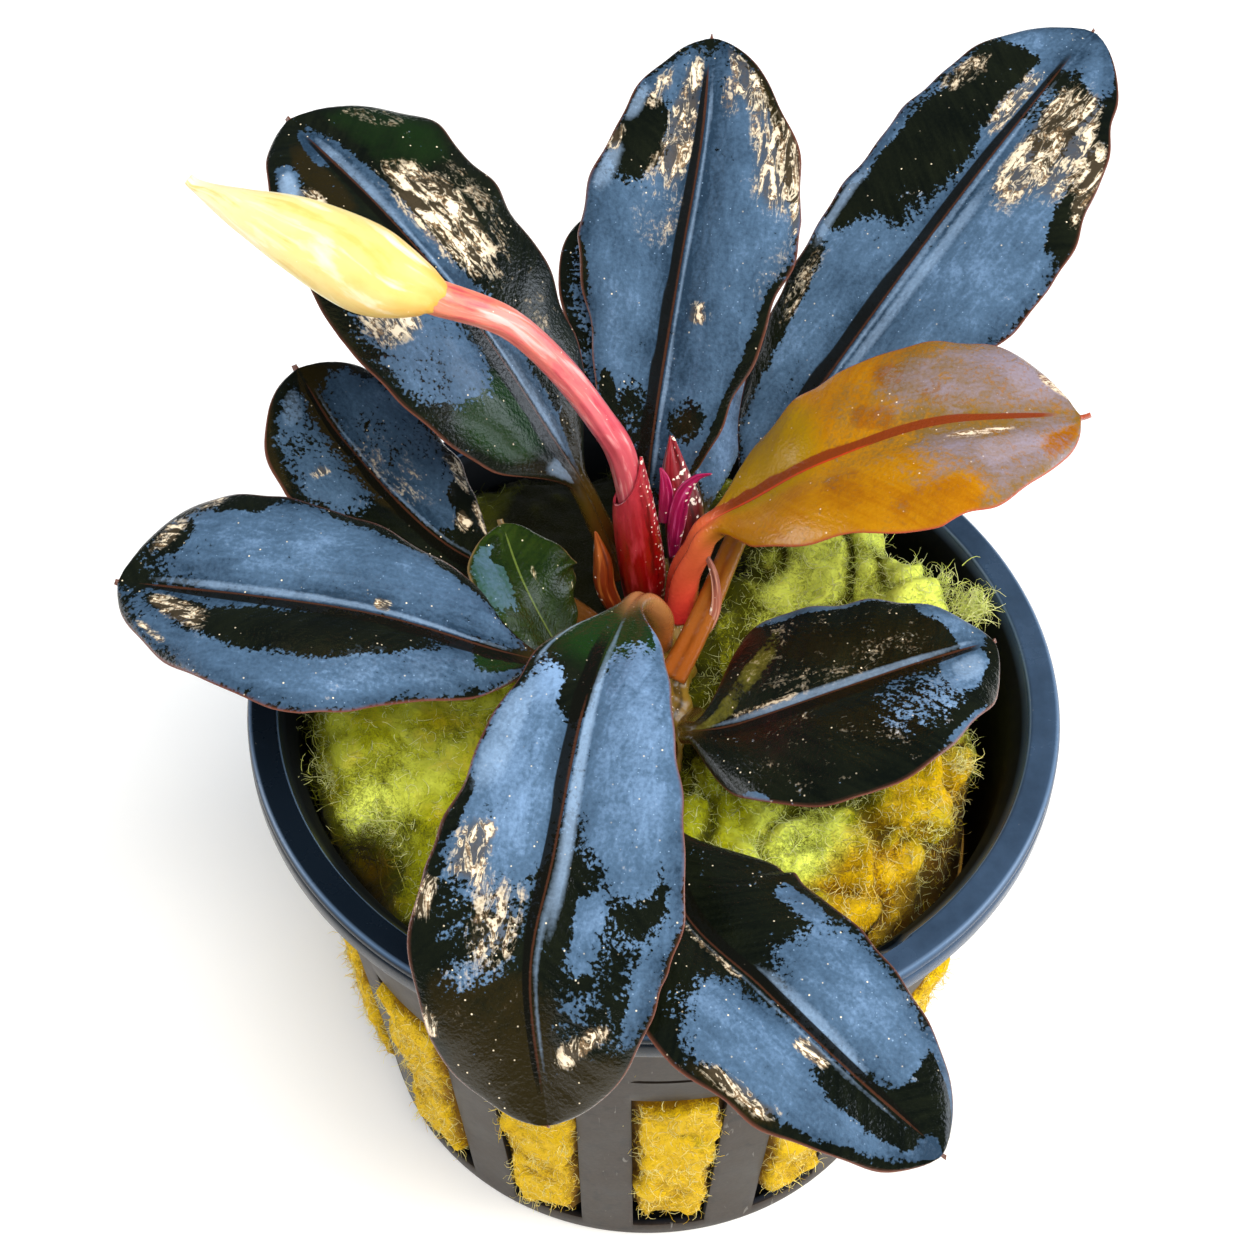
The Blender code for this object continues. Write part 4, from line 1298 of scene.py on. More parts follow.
@dataclass
class FlowerSheath(Shoot):
    """Thin pointed sheath that the flower stalk comes out of, open at its slanted mouth."""

    wall: float = 0.16
    mouth: float = 3.4

    def build(self) -> None:
        """Builds the sheath as one closed wall, outside up and inside down."""
        line, radius, share, angle, past_seam = self.course()
        tangent, across, normal = frames(line, (1.0, 0.0, 0.0))
        drop = self.mouth * share[:, None] ** 3 * (np.abs(np.sin(angle / 2)) ** 1.2)[None, :]
        layers = []
        for inset in (0.0, self.wall):
            size = (radius - inset)[:, None] + self.seam * (1 - past_seam) * share[:, None] - self.seam / 2
            layers.append(swept(line[:, None, :] - tangent[:, None, :] * drop[..., None], across, normal,
                                size * np.cos(angle), size * np.sin(angle)))
        rings = np.concatenate([layers[0], layers[1][::-1]])
        count = len(rings)
        faces = grid(count, self.sides).tolist()
        last = (count - 1) * self.sides
        for side in range(self.sides):
            after = (side + 1) % self.sides
            faces.append([last + side, last + after, after, side])
        both = [np.concatenate([values, values[::-1]]) for values in (run_of(line), share)]
        values = stem_values(*both, angle, self.wet_side, self.wet)
        values = {key: value.ravel() for key, value in values.items()}
        Piece(f"{self.name}_skin", rings.reshape(-1, 3), faces, self.tissue.material(), self.slot, self.name,
              values, crease=60.0).add()


RHIZOME = Shoot("rhizome",
                ((-1.6, -10.0, -2.8), (-0.8, -5.5, -1.0), (0.2, -1.0, 0.2), (0.6, 3.0, 0.9), (0.7, 8.5, 1.0)),
                (1.5, 2.0, 2.0, 2.0, 1.5),
                StemTissue("rhizome bark, wet", "#5a4212", "#94701c", "#6e5214", "#d0a850", "#1c1004",
                           relief=0.25, fleck=0.3), "rhizome", ridges=0, lumps=0.45, wet=0.45,
                wet_side=90.0)
SHOOTS = (
    RHIZOME,
    Shoot("flower_stalk",
          ((-0.7, 4.3, 4.2), (-0.9, 4.1, 7.0), (-1.5, 4.5, 11.0), (-2.2, 4.7, 15.5), (-3.4, 4.6, 18.4),
           (-5.7, 4.6, 22.5), (-8.6, 4.1, 26.5), (-12.2, 3.4, 28.9), (-12.9, 3.35, 29.25)),
          (0.50, 0.60, 0.72, 0.85, 0.82, 0.82, 0.84, 0.98, 0.95),
          StemTissue("flower stalk skin", "#b02c42", "#d8606c", "#e08860", "#fcc8c4", "#b83a4c"),
          "flower_stalk", ridges=9, ridge_height=0.03, wet=0.1, open_end=True),
    Shoot("spathe",
          ((-12.5, 3.4, 29.1), (-12.9, 3.4, 29.35), (-15.7, 3.7, 30.5), (-19.3, 4.7, 32.0),
           (-22.5, 5.6, 33.0), (-24.6, 6.5, 33.5), (-25.3, 6.8, 33.9)),
          (0.80, 1.35, 2.32, 1.95, 1.05, 0.42, 0.28),
          StemTissue("spathe leaf, cream", "#dc9c2c", "#ead78c", "#ebe3c6", "#f6f1de", "#dcb858",
                     roughness=0.45, relief=0.03),
          "spathe", ridges=3, ridge_height=0.03, seam=0.16, seam_side=75.0, wet=0.0, open_end=True),
    Shoot("sheath_bud",
          ((1.7, 6.3, 3.8), (1.6, 6.8, 8.0), (1.0, 7.1, 11.0), (0.7, 7.7, 14.0)),
          (0.9, 1.15, 0.85, 0.08),
          StemTissue("bud sheath, dark red", "#3a0408", "#6c0e16", "#8a1c24", "#b84450", "#260305"),
          "dark_sheath", ridges=3, ridge_height=0.10, seam=0.12, wet=1.0, wet_side=10.0),
    Shoot("prophyll_magenta",
          ((1.0, 4.6, 6.6), (1.15, 4.8, 9.6), (1.5, 4.8, 12.2), (2.2, 4.7, 13.6), (3.1, 4.6, 14.1)),
          (0.20, 0.50, 0.42, 0.22, 0.05),
          StemTissue("scale leaf, magenta", "#74093a", "#a50e52", "#b2145c", "#e468a8", "#5e062c"),
          "magenta_scale", ridges=2, ridge_height=0.05, flatten=0.6, wet=0.7),
    Shoot("scale_small",
          ((0.35, 4.9, 9.5), (0.45, 5.0, 11.6), (0.35, 5.1, 13.0), (0.1, 5.2, 13.9)),
          (0.30, 0.42, 0.28, 0.05),
          StemTissue("scale leaf, magenta", "#6c0834", "#980c48", "#a81050", "#e068a0", "#5a062a"),
          "magenta_scale", solid=False, flatten=0.5, wet=0.5),
    Shoot("scale_tan",
          ((2.7, 2.4, 10.0), (3.4, 1.9, 8.2), (3.6, 1.3, 6.2), (3.2, 0.9, 4.6), (2.3, 0.6, 3.0)),
          (0.08, 0.22, 0.30, 0.32, 0.24),
          StemTissue("scale leaf, tan pink", "#7a3c2c", "#a8604c", "#b87460", "#e8b8a0", "#3c1410"),
          "magenta_scale", solid=False, flatten=0.45, wet=1.0, wet_side=180.0),
    Shoot("bud_small",
          ((-2.2, 3.1, 2.7), (-3.1, 3.2, 5.4), (-3.3, 3.5, 7.5), (-3.7, 3.6, 10.0)),
          (0.45, 0.62, 0.55, 0.06),
          StemTissue("bud scale, orange", "#4a0e06", "#702408", "#8e4414", "#cc7838", "#380a04"),
          "orange_bud", ridges=3, wet=0.8, wet_side=200.0),
    FlowerSheath("sheath_flower",
                 ((-0.7, 4.3, 3.6), (-0.9, 4.1, 6.5), (-1.5, 4.5, 11.0), (-2.1, 4.7, 15.2)),
                 (1.35, 1.48, 1.36, 1.10),
                 StemTissue("flower sheath, red", "#4a0101", "#8c0206", "#b02e3c", "#c83e4a", "#380101",
                            relief=0.10, fleck=0.32),
                 "red_sheath", seam=0.16, seam_side=245.0, wet=1.0, wet_side=330.0, sides=64, rings=80),
)


@dataclass
class NetPot:
    """Round net pot: flanged rim with a skirt, tapered wall with windows between ribs, slotted floor."""

    plastic: MouldedPolypropylene = MouldedPolypropylene()
    window_columns: int = 12
    rib_columns: int = 8
    edge_round: float = 0.12
    disc_radius: float = 17.5
    drain_count: int = 7
    drain_from: float = 6.0
    drain_to: float = 13.0
    drain_width: float = 2.4
    mark_height: float = POT_HEIGHT - 11.0
    window_rows: int = 15
    mark_depth: float = 0.16
    mark_span: tuple[float, float] = (-2.2, 7.0)
    notch_depth: float = 0.35
    notch_span: tuple[float, float] = (35.0, 38.5)
    span_end: float = 0.4
    # Section of the rim from inside the wall over the flange to outside it: radius, and height over the rim
    rim: tuple[tuple[float, float], ...] = (
        (22.10, -1.4), (22.45, -0.85), (22.62, -0.66), (23.05, -0.20), (23.12, -0.06), (23.20, 0.0),
        (23.30, 0.02), (23.40, 0.0), (23.9, -0.01), (24.42, 0.0), (24.62, -0.03), (24.80, -0.12),
        (24.93, -0.28), (24.98, -0.46), (24.95, -0.60), (24.88, -0.70), (24.88, -0.80), (24.96, -0.90),
        (25.0, -1.02), (25.0, -1.85), (24.94, -2.02), (24.80, -2.10), (24.40, -2.10), (24.25, -2.04),
        (24.2, -1.9), (24.2, -1.1), (24.1, -0.95), (23.9, -0.9), (22.9, -0.9), (22.75, -1.0),
    )
    # The first points of that section are painted in the pot's shade, and thin highlights are painted along
    # the flange's edges
    shaded_points: int = 3
    edge_highlight_radii: tuple[float, ...] = (23.12, 24.80)

    def column_angles(self, radius: float) -> Array:
        """Azimuths of the wall's columns, so that every rib keeps its width.

        Args:
            radius: the wall's radius at their height.

        Returns:
            Azimuths in radians, first a rib's columns and then its window's, for each rib.
        """
        half = RIB_WIDTH / 2 / radius
        soft = self.edge_round / radius
        rib = np.concatenate([[-half, -half + soft], np.linspace(-half, half, self.rib_columns)[1:-1],
                              [half - soft, half]])
        window = np.linspace(half, PITCH - half, self.window_columns)[1:-1]
        pitch = np.concatenate([rib, window])
        return np.concatenate([FIRST_RIB + PITCH * index + pitch for index in range(RIB_COUNT)])

    def wall_heights(self) -> Array:
        """Heights of the wall's rows, with two at each end of a window for its rounded edge.

        Returns:
            Heights in millimetres, upwards.
        """
        soft = self.edge_round
        rows = np.linspace(WINDOW_BOTTOM, WINDOW_TOP, self.window_rows + 1)
        return np.concatenate([
            [0.9, WINDOW_BOTTOM - soft, WINDOW_BOTTOM], rows[1:-1],
            [WINDOW_TOP, WINDOW_TOP + soft, WINDOW_TOP + 1.2, WINDOW_TOP + 2.2],
            self.mark_height + np.array([-0.18, -0.12, 0.12, 0.18]),
            np.linspace(self.mark_height + 1.2, POT_HEIGHT - 1.8, 7)])

    def build(self) -> None:
        """Builds the wall with its rim, and the floor."""
        plastic = self.plastic.material()
        heights = self.wall_heights()
        rows = [(self.disc_radius, POT_FLOOR), (wall_radius(POT_FLOOR) - WALL - 0.2, POT_FLOOR)]
        first_inner = len(rows)
        rows += [(wall_radius(z) - WALL, z) for z in np.maximum(heights, POT_FLOOR + 0.1)]
        first_rim = len(rows)
        rows += [(radius, POT_HEIGHT + drop) for radius, drop in self.rim]
        first_outer = len(rows)
        rows += [(wall_radius(z), z) for z in heights[::-1]]
        rows += [(wall_radius(0.3), 0.3), (wall_radius(0.0) - 0.08, 0.08), (wall_radius(0.0) - 0.3, 0.0),
                 (self.disc_radius, 0.0)]
        points = np.array([self.ring(radius, z) for radius, z in rows])
        # A window's rows on the inside of the wall, and the same heights on its outside
        inner = first_inner + np.arange(2, 3 + self.window_rows)
        outer = first_outer + len(heights) - 3 - np.arange(1 + self.window_rows)
        self.soften(points, inner, outer)
        self.press_marks(points)
        outside, inside, edge_highlights = np.zeros((3, *points.shape[:2]))
        outside[first_outer:] = 1.0
        inside[:first_rim + self.shaded_points] = 1.0
        # Painted highlights along the flange's edges
        highlighted_rows = np.isin([radius for radius, _ in self.rim], self.edge_highlight_radii)
        edge_highlights[first_rim:first_outer] = highlighted_rows[:, None]
        # A painted reflection of the sky lightens the side at +X
        sky_reflection_side = ease(-0.3, 0.7, points[..., 0] / RIM_RADIUS)
        faces = self.wall_faces(*points.shape[:2], inner, outer)
        points, faces, used = tidy_faces(points.reshape(-1, 3), faces)
        values = {"outside": outside, "inside": inside, "sky_reflection_side": sky_reflection_side, "edge_highlights": edge_highlights}
        values = {key: value.ravel()[used] for key, value in values.items()}
        Piece("net_pot_wall", points, faces, plastic, "pot_plastic", "net_pot", values, 35.0).add()
        self.floor(plastic)

    def in_gap(self, columns: int) -> Array:
        """Whether each column starts a face that lies in a window."""
        return np.arange(columns) % (columns // RIB_COUNT) > self.rib_columns

    def wall_faces(self, count: int, columns: int, inner: Array, outer: Array) -> list[list[int]]:
        """Faces of the wall with its windows open, and those round each window.

        Args:
            count: rows of points, which close on themselves.
            columns: points in a row.
            inner: a window's rows on the inside, upwards.
            outer: the rows on the outside at the same heights.

        Returns:
            Lists of four indices.
        """
        gap = self.in_gap(columns)
        beside = gap & ~np.roll(gap, 1) | ~gap & np.roll(gap, 1)
        open_rows = {*inner[:-1].tolist(), *(outer[:-1] - 1).tolist()}
        faces = []
        for row, column in product(range(count), range(columns)):
            if not (row in open_rows and gap[column]):
                low, high = row * columns, (row + 1) % count * columns
                after = (column + 1) % columns
                faces.append([low + column, low + after, high + after, high + column])
        for step, column in product(range(self.window_rows + 1), range(columns)):
            near, far = inner[step] * columns, outer[step] * columns
            after = (column + 1) % columns
            if gap[column] and step in (0, self.window_rows):
                faces.append([near + column, near + after, far + after, far + column])
            if beside[column] and step < self.window_rows:
                up, down = near + columns, far - columns
                faces.append([near + column, up + column, down + column, far + column])
        return faces

    def press_marks(self, points: Array) -> None:
        """Presses the moulding line into the wall over a front window, and the notch into the rim.

        Args:
            points: rows of the wall's points, which are moved.
        """
        azimuth = np.degrees(np.arctan2(points[..., 0], -points[..., 1]))
        radius = np.hypot(points[..., 0], points[..., 1])
        z = points[..., 2]
        end = self.span_end
        groove, notch = (ease(low - end, low + end, azimuth) * ease(high + end, high - end, azimuth)
                         for low, high in (self.mark_span, self.notch_span))
        groove = groove * (radius > wall_radius(z) - 0.1) * (np.abs(z - self.mark_height) < 0.13)
        points[..., :2] *= (1 - self.mark_depth * groove / radius)[..., None]
        notch = notch * (z > POT_HEIGHT - 0.7) * (radius < 23.25) * (radius > 22.5)
        points[..., 2] -= self.notch_depth * notch

    def ring(self, radius: float, z: float) -> Array:
        """Ring of points of the wall at a radius and a height."""
        return around(self.column_angles(wall_radius(min(z, POT_HEIGHT))), radius, z)

    def soften(self, points: Array, inner: Array, outer: Array) -> None:
        """Draws the rims of the windows in, so that their edges catch a thin line of light.

        Args:
            points: rows of the wall's points, which are moved.
            inner: a window's rows on the inside, upwards.
            outer: the rows on the outside at the same heights.
        """
        gap = self.in_gap(points.shape[1])
        at_side = gap != np.roll(gap, 1)
        for step in range(self.window_rows + 1):
            touched = at_side if 0 < step < self.window_rows else at_side | gap
            for rows, sign in ((inner, 1.0), (outer, -1.0)):
                flat = points[rows[step], touched, :2]
                length = np.linalg.norm(flat, axis=1, keepdims=True)
                points[rows[step], touched, :2] = flat * (1 + sign * self.edge_round / 2 / length)

    def floor(self, plastic: Material) -> None:
        """Builds the slotted disc of the floor.

        Args:
            plastic: its material.
        """
        bm = bmesh.new()
        bmesh.ops.create_cone(bm, cap_ends=True, segments=112, radius1=self.disc_radius * MM,
                              radius2=self.disc_radius * MM, depth=POT_FLOOR * MM,
                              matrix=Matrix.Translation((0, 0, POT_FLOOR / 2 * MM)))
        disc = self.scratch("disc", bm)
        bm = bmesh.new()
        for index in range(self.drain_count):
            azimuth = 2 * pi * index / self.drain_count
            across = Vector((cos(azimuth), sin(azimuth), 0.0))
            outward = Vector((sin(azimuth), -cos(azimuth), 0.0))
            for vert in bmesh.ops.create_cube(bm, size=1.0)["verts"]:
                radius = self.drain_to if vert.co.x > 0 else self.drain_from
                place = outward * radius + across * (vert.co.y * self.drain_width)
                vert.co = Vector((place.x, place.y, 4 * POT_FLOOR * vert.co.z)) * MM
        cutter = self.scratch("slots", bm)
        cut = disc.modifiers.new("Slots", "BOOLEAN")
        cut.operation = "DIFFERENCE"
        cut.solver = "EXACT"
        cut.object = cutter
        made = disc.evaluated_get(bpy.context.evaluated_depsgraph_get()).to_mesh()
        points = np.array([vert.co for vert in made.vertices]) / MM
        faces = [list(face.vertices) for face in made.polygons]
        for used in (disc, cutter):
            bpy.data.objects.remove(used)
        values = dict.fromkeys(("outside", "sky_reflection_side", "edge_highlights"), np.zeros(len(points)))
        # The floor lies in the pot's painted shade
        values["inside"] = np.ones(len(points))
        Piece("net_pot_floor", points, faces, plastic, "pot_plastic", None, values, 30.0).add()

    @staticmethod
    def scratch(name: str, bm: bmesh.types.BMesh) -> bpy.types.Object:
        """Object that is only used to make another.

        Args:
            name: its name.
            bm: its mesh, which is freed.

        Returns:
            The object.
        """
        bmesh.ops.recalc_face_normals(bm, faces=bm.faces)
        mesh = bpy.data.meshes.new(name)
        bm.to_mesh(mesh)
        bm.free()
        return placed(name, mesh)


def tidy_faces(points: Array, faces: list) -> tuple[Array, list, list[int]]:
    """Points that are used, and the faces all turned outwards.

    Args:
        points: points in rows of three.
        faces: lists of indices.

    Returns:
        The points and faces of the tidied mesh, and which of the given points they are.
    """
    bm = bmesh.new()
    used = sorted({index for face in faces for index in face})
    verts = {index: bm.verts.new(points[index]) for index in used}
    for face in faces:
        bm.faces.new([verts[index] for index in face])
    bmesh.ops.recalc_face_normals(bm, faces=bm.faces)
    bm.verts.index_update()
    kept = np.array([vert.co for vert in bm.verts])
    turned = [[vert.index for vert in face.verts] for face in bm.faces]
    bm.free()
    return kept, turned, used


# Lumps of the wool's top: x, y, height and reach in millimetres
LUMPS = (
    (-14.0, -4.0, 1.2, 6.0), (-9.0, -14.0, -0.4, 5.0), (-17.5, -13.0, -5.0, 2.8), (-10.0, 13.0, 0.8, 5.0),
    (6.5, 12.5, 2.4, 4.0), (13.3, 11.6, 3.8, 4.3), (17.5, 6.5, 3.2, 3.5), (16.5, -3.0, 0.6, 4.0),
    (12.0, -13.0, -0.8, 5.5), (9.0, -17.0, -0.8, 4.0),
)


@dataclass(frozen=True)
class Area:
    """Round area of the wool's top, how golden and lime it is there, and how dark its painted shade is."""

    x: float
    y: float
    reach: float
    gold: float = 0.0
    lime: float = 0.0
    dark: float = 0.0


# The dark of an area is painted shade: round the crown, under the leaves and in a hollow by the wall
AREAS = (
    Area(12.5, 8.0, 4.5, lime=0.8),
    Area(-14.0, -4.0, 7.0, gold=0.30, lime=0.15),
    Area(-17.2, -9.0, 2.0, lime=0.7),
    Area(-17.4, -12.8, 2.3, gold=0.5, dark=1.5),
    Area(-6.0, 9.0, 5.5, dark=1.8),
    Area(-4.5, 16.0, 5.5, dark=1.8),
    Area(2.5, 12.5, 3.6, dark=1.5),
    Area(0.3, 3.0, 3.0, dark=0.9),
    Area(3.8, -3.0, 2.6, dark=0.9),
    Area(14.8, 8.7, 3.6, lime=1.0),
    Area(18.8, 7.1, 3.0, lime=1.0),
    Area(9.0, 8.6, 3.4, lime=0.6),
    Area(5.5, 6.0, 2.4, gold=0.1, lime=0.1, dark=0.25),
    Area(9.0, -10.0, 3.0, lime=0.9),
    Area(12.8, -12.1, 3.2, gold=0.9),
    Area(17.0, -7.2, 3.6, gold=0.8),
    Area(13.3, -15.5, 3.4, gold=0.9),
    Area(19.3, -3.5, 2.4, gold=0.5, lime=0.5),
)


@dataclass(frozen=True)
class Tuft:
    """Loose bundle of strands that stands off the wool: where, which way, how many and how long."""

    spot: Point
    way: Point
    amount: int
    length: float
    spread: float = 0.8


TUFTS_RIGHT = (
    Tuft((19.6, 6.0, 0.4), (1.6, 0.5, 1.0), 260, 1.6, 0.45),
    Tuft((18.2, 7.6, 0.4), (0.5, 0.8, 0.9), 120, 1.0),
    Tuft((18.4, -5.2, -1.0), (1.4, 0.1, 0.3), 60, 1.1, 0.3),
    Tuft((16.9, -8.8, -2.0), (1.0, -0.5, 0.2), 40, 0.8, 0.5),
)
TUFTS_LEFT = (
    Tuft((-19.6, -6.0, -2.0), (-1.0, -0.1, 0.3), 140, 1.3),
    Tuft((-16.6, -10.8, -1.8), (-0.3, -0.9, 0.3), 160, 2.0),
    Tuft((-20.0, -1.5, -1.8), (-1.0, 0.0, 0.3), 120, 1.1),
)


@dataclass
class Wool:
    """Wad of mineral wool that fills the pot, with the strands that stand off it."""

    clearance: float = 0.35
    top: float = -1.6
    radius: float = 20.8
    edge_drop: float = 1.3
    trough_depth: float = 3.2
    trough_reach: float = 3.4
    swell: float = 0.45
    columns: int = 420
    side_rows: int = 60
    upper_rows: int = 12
    top_rows: int = 76
    crease_gap: float = 5.2
    crease_width: float = 0.13
    tuft_size: float = 3.2
    curl_size: float = 1.1
    strand_rings: int = 5
    strand_sides: int = 3
    strand_radius: tuple[float, float] = (0.018, 0.042)
    wad: MineralWool = MineralWool("mineral wool, spun", "#b3b512", "#eefa6a", "#e2b808", "#4e5004",
                                   "#805800", "#e2ea70", "#ffee84")
    thread: MineralWool = MineralWool("mineral wool strands", "#b0b61a", "#e6f470", "#ecc418", "#6c7008",
                                      "#8c6204", "#f6fab0", "#fff6ac", lift=0.35)

    def height(self, x: Array, y: Array) -> Array:
        """Height of the lumpy top, with a trough under the rhizome.

        Args:
            x: places in millimetres.
            y: places in millimetres.

        Returns:
            Millimetres over the pot's underside.
        """
        total = np.full(np.shape(x), self.top)
        for lump_x, lump_y, lump, reach in LUMPS:
            total = total + lump * np.exp(-((x - lump_x) ** 2 + (y - lump_y) ** 2) / reach ** 2)
        total = total + 0.35 * np.sin(x / 2.1 + 1.0) * np.sin(y / 2.6)
        for bed_x, bed_y, bed in through(np.array(RHIZOME.route), 15):
            far = np.hypot(x - bed_x, y - bed_y) / self.trough_reach
            floor = bed - self.trough_depth
            total = np.where(far < 1.0, np.minimum(total, floor + (total - floor) * far ** 4), total)
        return POT_HEIGHT + total

    def skin(self) -> tuple[Array, Array]:
        """Rows of points from the bottom up the side and over the top, and how open each place is.

        Returns:
            The points, and an array that is 1 where the wool shows in a window or on top.
        """
        angle = np.linspace(0, 2 * pi, self.columns, endpoint=False)
        offset = np.mod(angle - FIRST_RIB, PITCH)
        window = np.floor((angle - FIRST_RIB) / PITCH)
        round_it = around(angle, 20.0, 0.0)
        ragged = cloud(round_it, 1.6, 41, 3)
        rows, opens = [], []
        base = POT_FLOOR + self.clearance
        for z in np.linspace(base, WINDOW_TOP - 0.3, self.side_rows):
            outer = wall_radius(z)
            frayed = 0.35 * cloud(round_it + (0.0, 0.0, z), 1.3, 43, 2)
            far = np.minimum(offset, PITCH - offset) * outer + frayed
            gap = 1.3 + 0.9 * np.sin(2.3 * window + 0.4) + 0.7 * ragged
            shown = ease(RIB_WIDTH / 2 + 0.1, RIB_WIDTH / 2 + 0.8, far)
            shown = shown * ease(WINDOW_BOTTOM + gap, WINDOW_BOTTOM + gap + 1.6, z)
            shown = shown * ease(WINDOW_TOP, WINDOW_TOP - 1.2, z)
            reach = outer - WALL - self.clearance + shown * (WALL + self.clearance + self.swell)
            reach = reach - 0.9 * ease(WINDOW_BOTTOM + gap + 0.8, WINDOW_BOTTOM + gap - 0.6, z)
            rows.append(around(angle, reach, z))
            opens.append(shown)
        edge = self.edge(angle, 1.0, self.edge_drop)
        shoulder = rows[-1]
        for share in np.linspace(0, 1, self.upper_rows + 1)[1:]:
            rows.append(shoulder * (1 - share) + edge * share)
            opens.append(np.full_like(angle, 0.25 + 0.5 * share))
        for step in range(self.top_rows):
            inward = 0.995 * (1 - (step + 1) / self.top_rows) ** 0.9 + 0.005
            drop = self.edge_drop * ease(0.86, 1.0, inward) ** 2
            rows.append(self.edge(angle, inward, drop))
            opens.append(np.ones_like(angle))
        return np.array(rows), np.array(opens)

    def edge(self, angle: Array, inward: float, drop: float | Array) -> Array:
        """Ring of points on the top, kept off the wall.

        Args:
            angle: azimuth of each point.
            inward: share of the uneven edge's radius.
            drop: how far it lies under the top's own height.

        Returns:
            The points.
        """
        ripple = 0.35 * np.sin(5 * angle + 0.7) + 0.25 * np.sin(11 * angle) - 0.8 * np.sin(angle)
        ripple = ripple - 0.8 * np.clip(np.sin(angle), 0.0, 1.0) ** 3
        frayed = cloud(around(angle, 20.0, 0.0), 2.2, 47, 3)
        reach = (self.radius + ripple + 0.45 * frayed * ease(0.8, 1.0, inward)) * inward
        x, y = reach * np.sin(angle), -reach * np.cos(angle)
        z = self.height(x, y) - drop
        room = wall_radius(np.minimum(z, POT_HEIGHT)) - WALL - self.clearance
        shrink = np.minimum(1.0, room / np.maximum(reach, 1e-6))
        return np.stack([x * shrink, y * shrink, z], axis=1)

    def build(self) -> None:
        """Builds the wad and its strands."""
        rows, opens = self.skin()
        count, columns, _ = rows.shape
        quads = grid(count, columns)
        points = rows.reshape(-1, 3)
        opens = opens.ravel()
        on_top = ease(POT_HEIGHT - 7.0, POT_HEIGHT - 4.0, points[:, 2])
        # The right half is loose lumps with creases between them, the left half is one felt
        loose = ease(-3.0, 4.0, points[:, 0]) * on_top
        crease = np.exp(-(cloud(points, self.crease_gap, 31, 2) / self.crease_width) ** 2) * loose
        tufts = 0.62 * cloud(points, self.tuft_size, 11, 2) + 0.40 * cloud(points, self.curl_size, 12, 3)
        push = tufts * opens * (0.55 + 0.50 * loose) - 0.95 * crease
        normals = normals_of(points, quads)
        points = points + normals * push[:, None]
        normals = normals_of(points, quads)
        values = self.colours(points)
        # Painted shade: darker in the creases, between the tufts and where the wall hides the wool
        values["depth"] = np.clip(values["depth"] + 0.05 - 0.30 * tufts + 0.45 * crease + 0.9 * (1 - opens),
                                  0.0, 1.5)
        values["tone"] = np.zeros(len(points))
        body, faces = capped(points.reshape(count, columns, 3))
        values = {key: np.concatenate([value, [value[0], value[-1]]]) for key, value in values.items()}
        Piece("wool_wad", body, faces, self.wad.material(), "wool", "wool", values).add()
        self.add_strands(points, quads, normals, opens[quads].mean(axis=1))

    def add_strands(self, points: Array, quads: Array, normals: Array, shown: Array) -> None:
        """Adds the loose strands, with one piece for each part of the wad.

        Args:
            points: the wad's points.
            quads: the corners of its faces.
            normals: the normal at each point.
            shown: how open each face lies, from 0 to 1.
        """
        material = self.thread.material()
        corners = points[quads]
        areas = np.linalg.norm(np.cross(corners[:, 2] - corners[:, 0], corners[:, 3] - corners[:, 1]), axis=1)
        x, y, _ = corners.mean(axis=1).T
        above = quads[:, 0] >= (self.side_rows + self.upper_rows // 2) * self.columns
        parts = (
            ("wool_strands_top_left", above & (x < 0), 6200, 0.95, TUFTS_LEFT),
            ("wool_strands_back_right", above & (x >= 0) & (y >= 2.0), 4600, 1.1, TUFTS_RIGHT[:2]),
            ("wool_strands_front_right", above & (x >= 0) & (y < 2.0), 5600, 1.1, TUFTS_RIGHT[2:]),
            ("wool_strands_front", ~above & (y < 0), 6400, 0.95, ()),
            ("wool_strands_back", ~above & (y >= 0), 4800, 0.95, ()),
        )
        for number, (name, where, amount, length, tufts) in enumerate(parts):
            rng = np.random.default_rng(SEED + number)
            weight = np.where(where, areas * np.clip(shown - 0.3, 0, 1), 0.0)
            picked = rng.choice(len(quads), amount, p=weight / weight.sum())
            mix = rng.dirichlet(np.ones(4), amount)
            spots = (corners[picked] * mix[..., None]).sum(axis=1)
            bundles = [self.strands(spots, normals[quads[picked, 0]], length, rng)]
            for tuft in tufts:
                scatter = tuft.spread * rng.normal(size=(tuft.amount, 3)) * (1.0, 1.0, 0.5)
                spots = np.array(tuft.spot) + (0.0, 0.0, POT_HEIGHT) + scatter
                upward = np.tile([0.0, 0.0, 1.0], (tuft.amount, 1))
                bundles.append(self.strands(spots, upward, tuft.length, rng, tuft.way))
            strands, strand_faces, tone = self.joined(bundles)
            values = self.colours(strands)
            values["tone"] = tone
            Piece(name, strands, strand_faces, material, "wool", attributes=values).add()

    @staticmethod
    def colours(points: Array) -> dict[str, Array]:
        """How golden and lime the wool is and its painted shade: green on top, gold in the windows, and by
        its areas.

        Args:
            points: places in millimetres.

        Returns:
            The attributes of each point.
        """
        x, y, z = points.T
        lower = ease(POT_HEIGHT - 6.0, POT_HEIGHT - 13.0, z)
        mottled = 0.16 * cloud(points, 2.5, 21, 2)
        gold, lime = 0.95 * lower + mottled, 0.2 - mottled
        # The gap to the wall is in deep shade
        gap = wall_radius(POT_HEIGHT) - WALL - np.hypot(x, y)
        dark = 0.9 * ease(1.7, 0.7, gap) * ease(POT_HEIGHT - 0.8, POT_HEIGHT - 2.5, z) * (1 - lower)
        for area in AREAS:
            near = np.exp(-((x - area.x) ** 2 + (y - area.y) ** 2) / area.reach ** 2) * (1 - lower)
            gold = gold + area.gold * near
            lime = lime + area.lime * near
            dark = dark + area.dark * near
        return {"gold": np.clip(gold, 0, 1), "lime": np.clip(lime, 0, 1), "depth": np.clip(dark, 0, 1.2)}

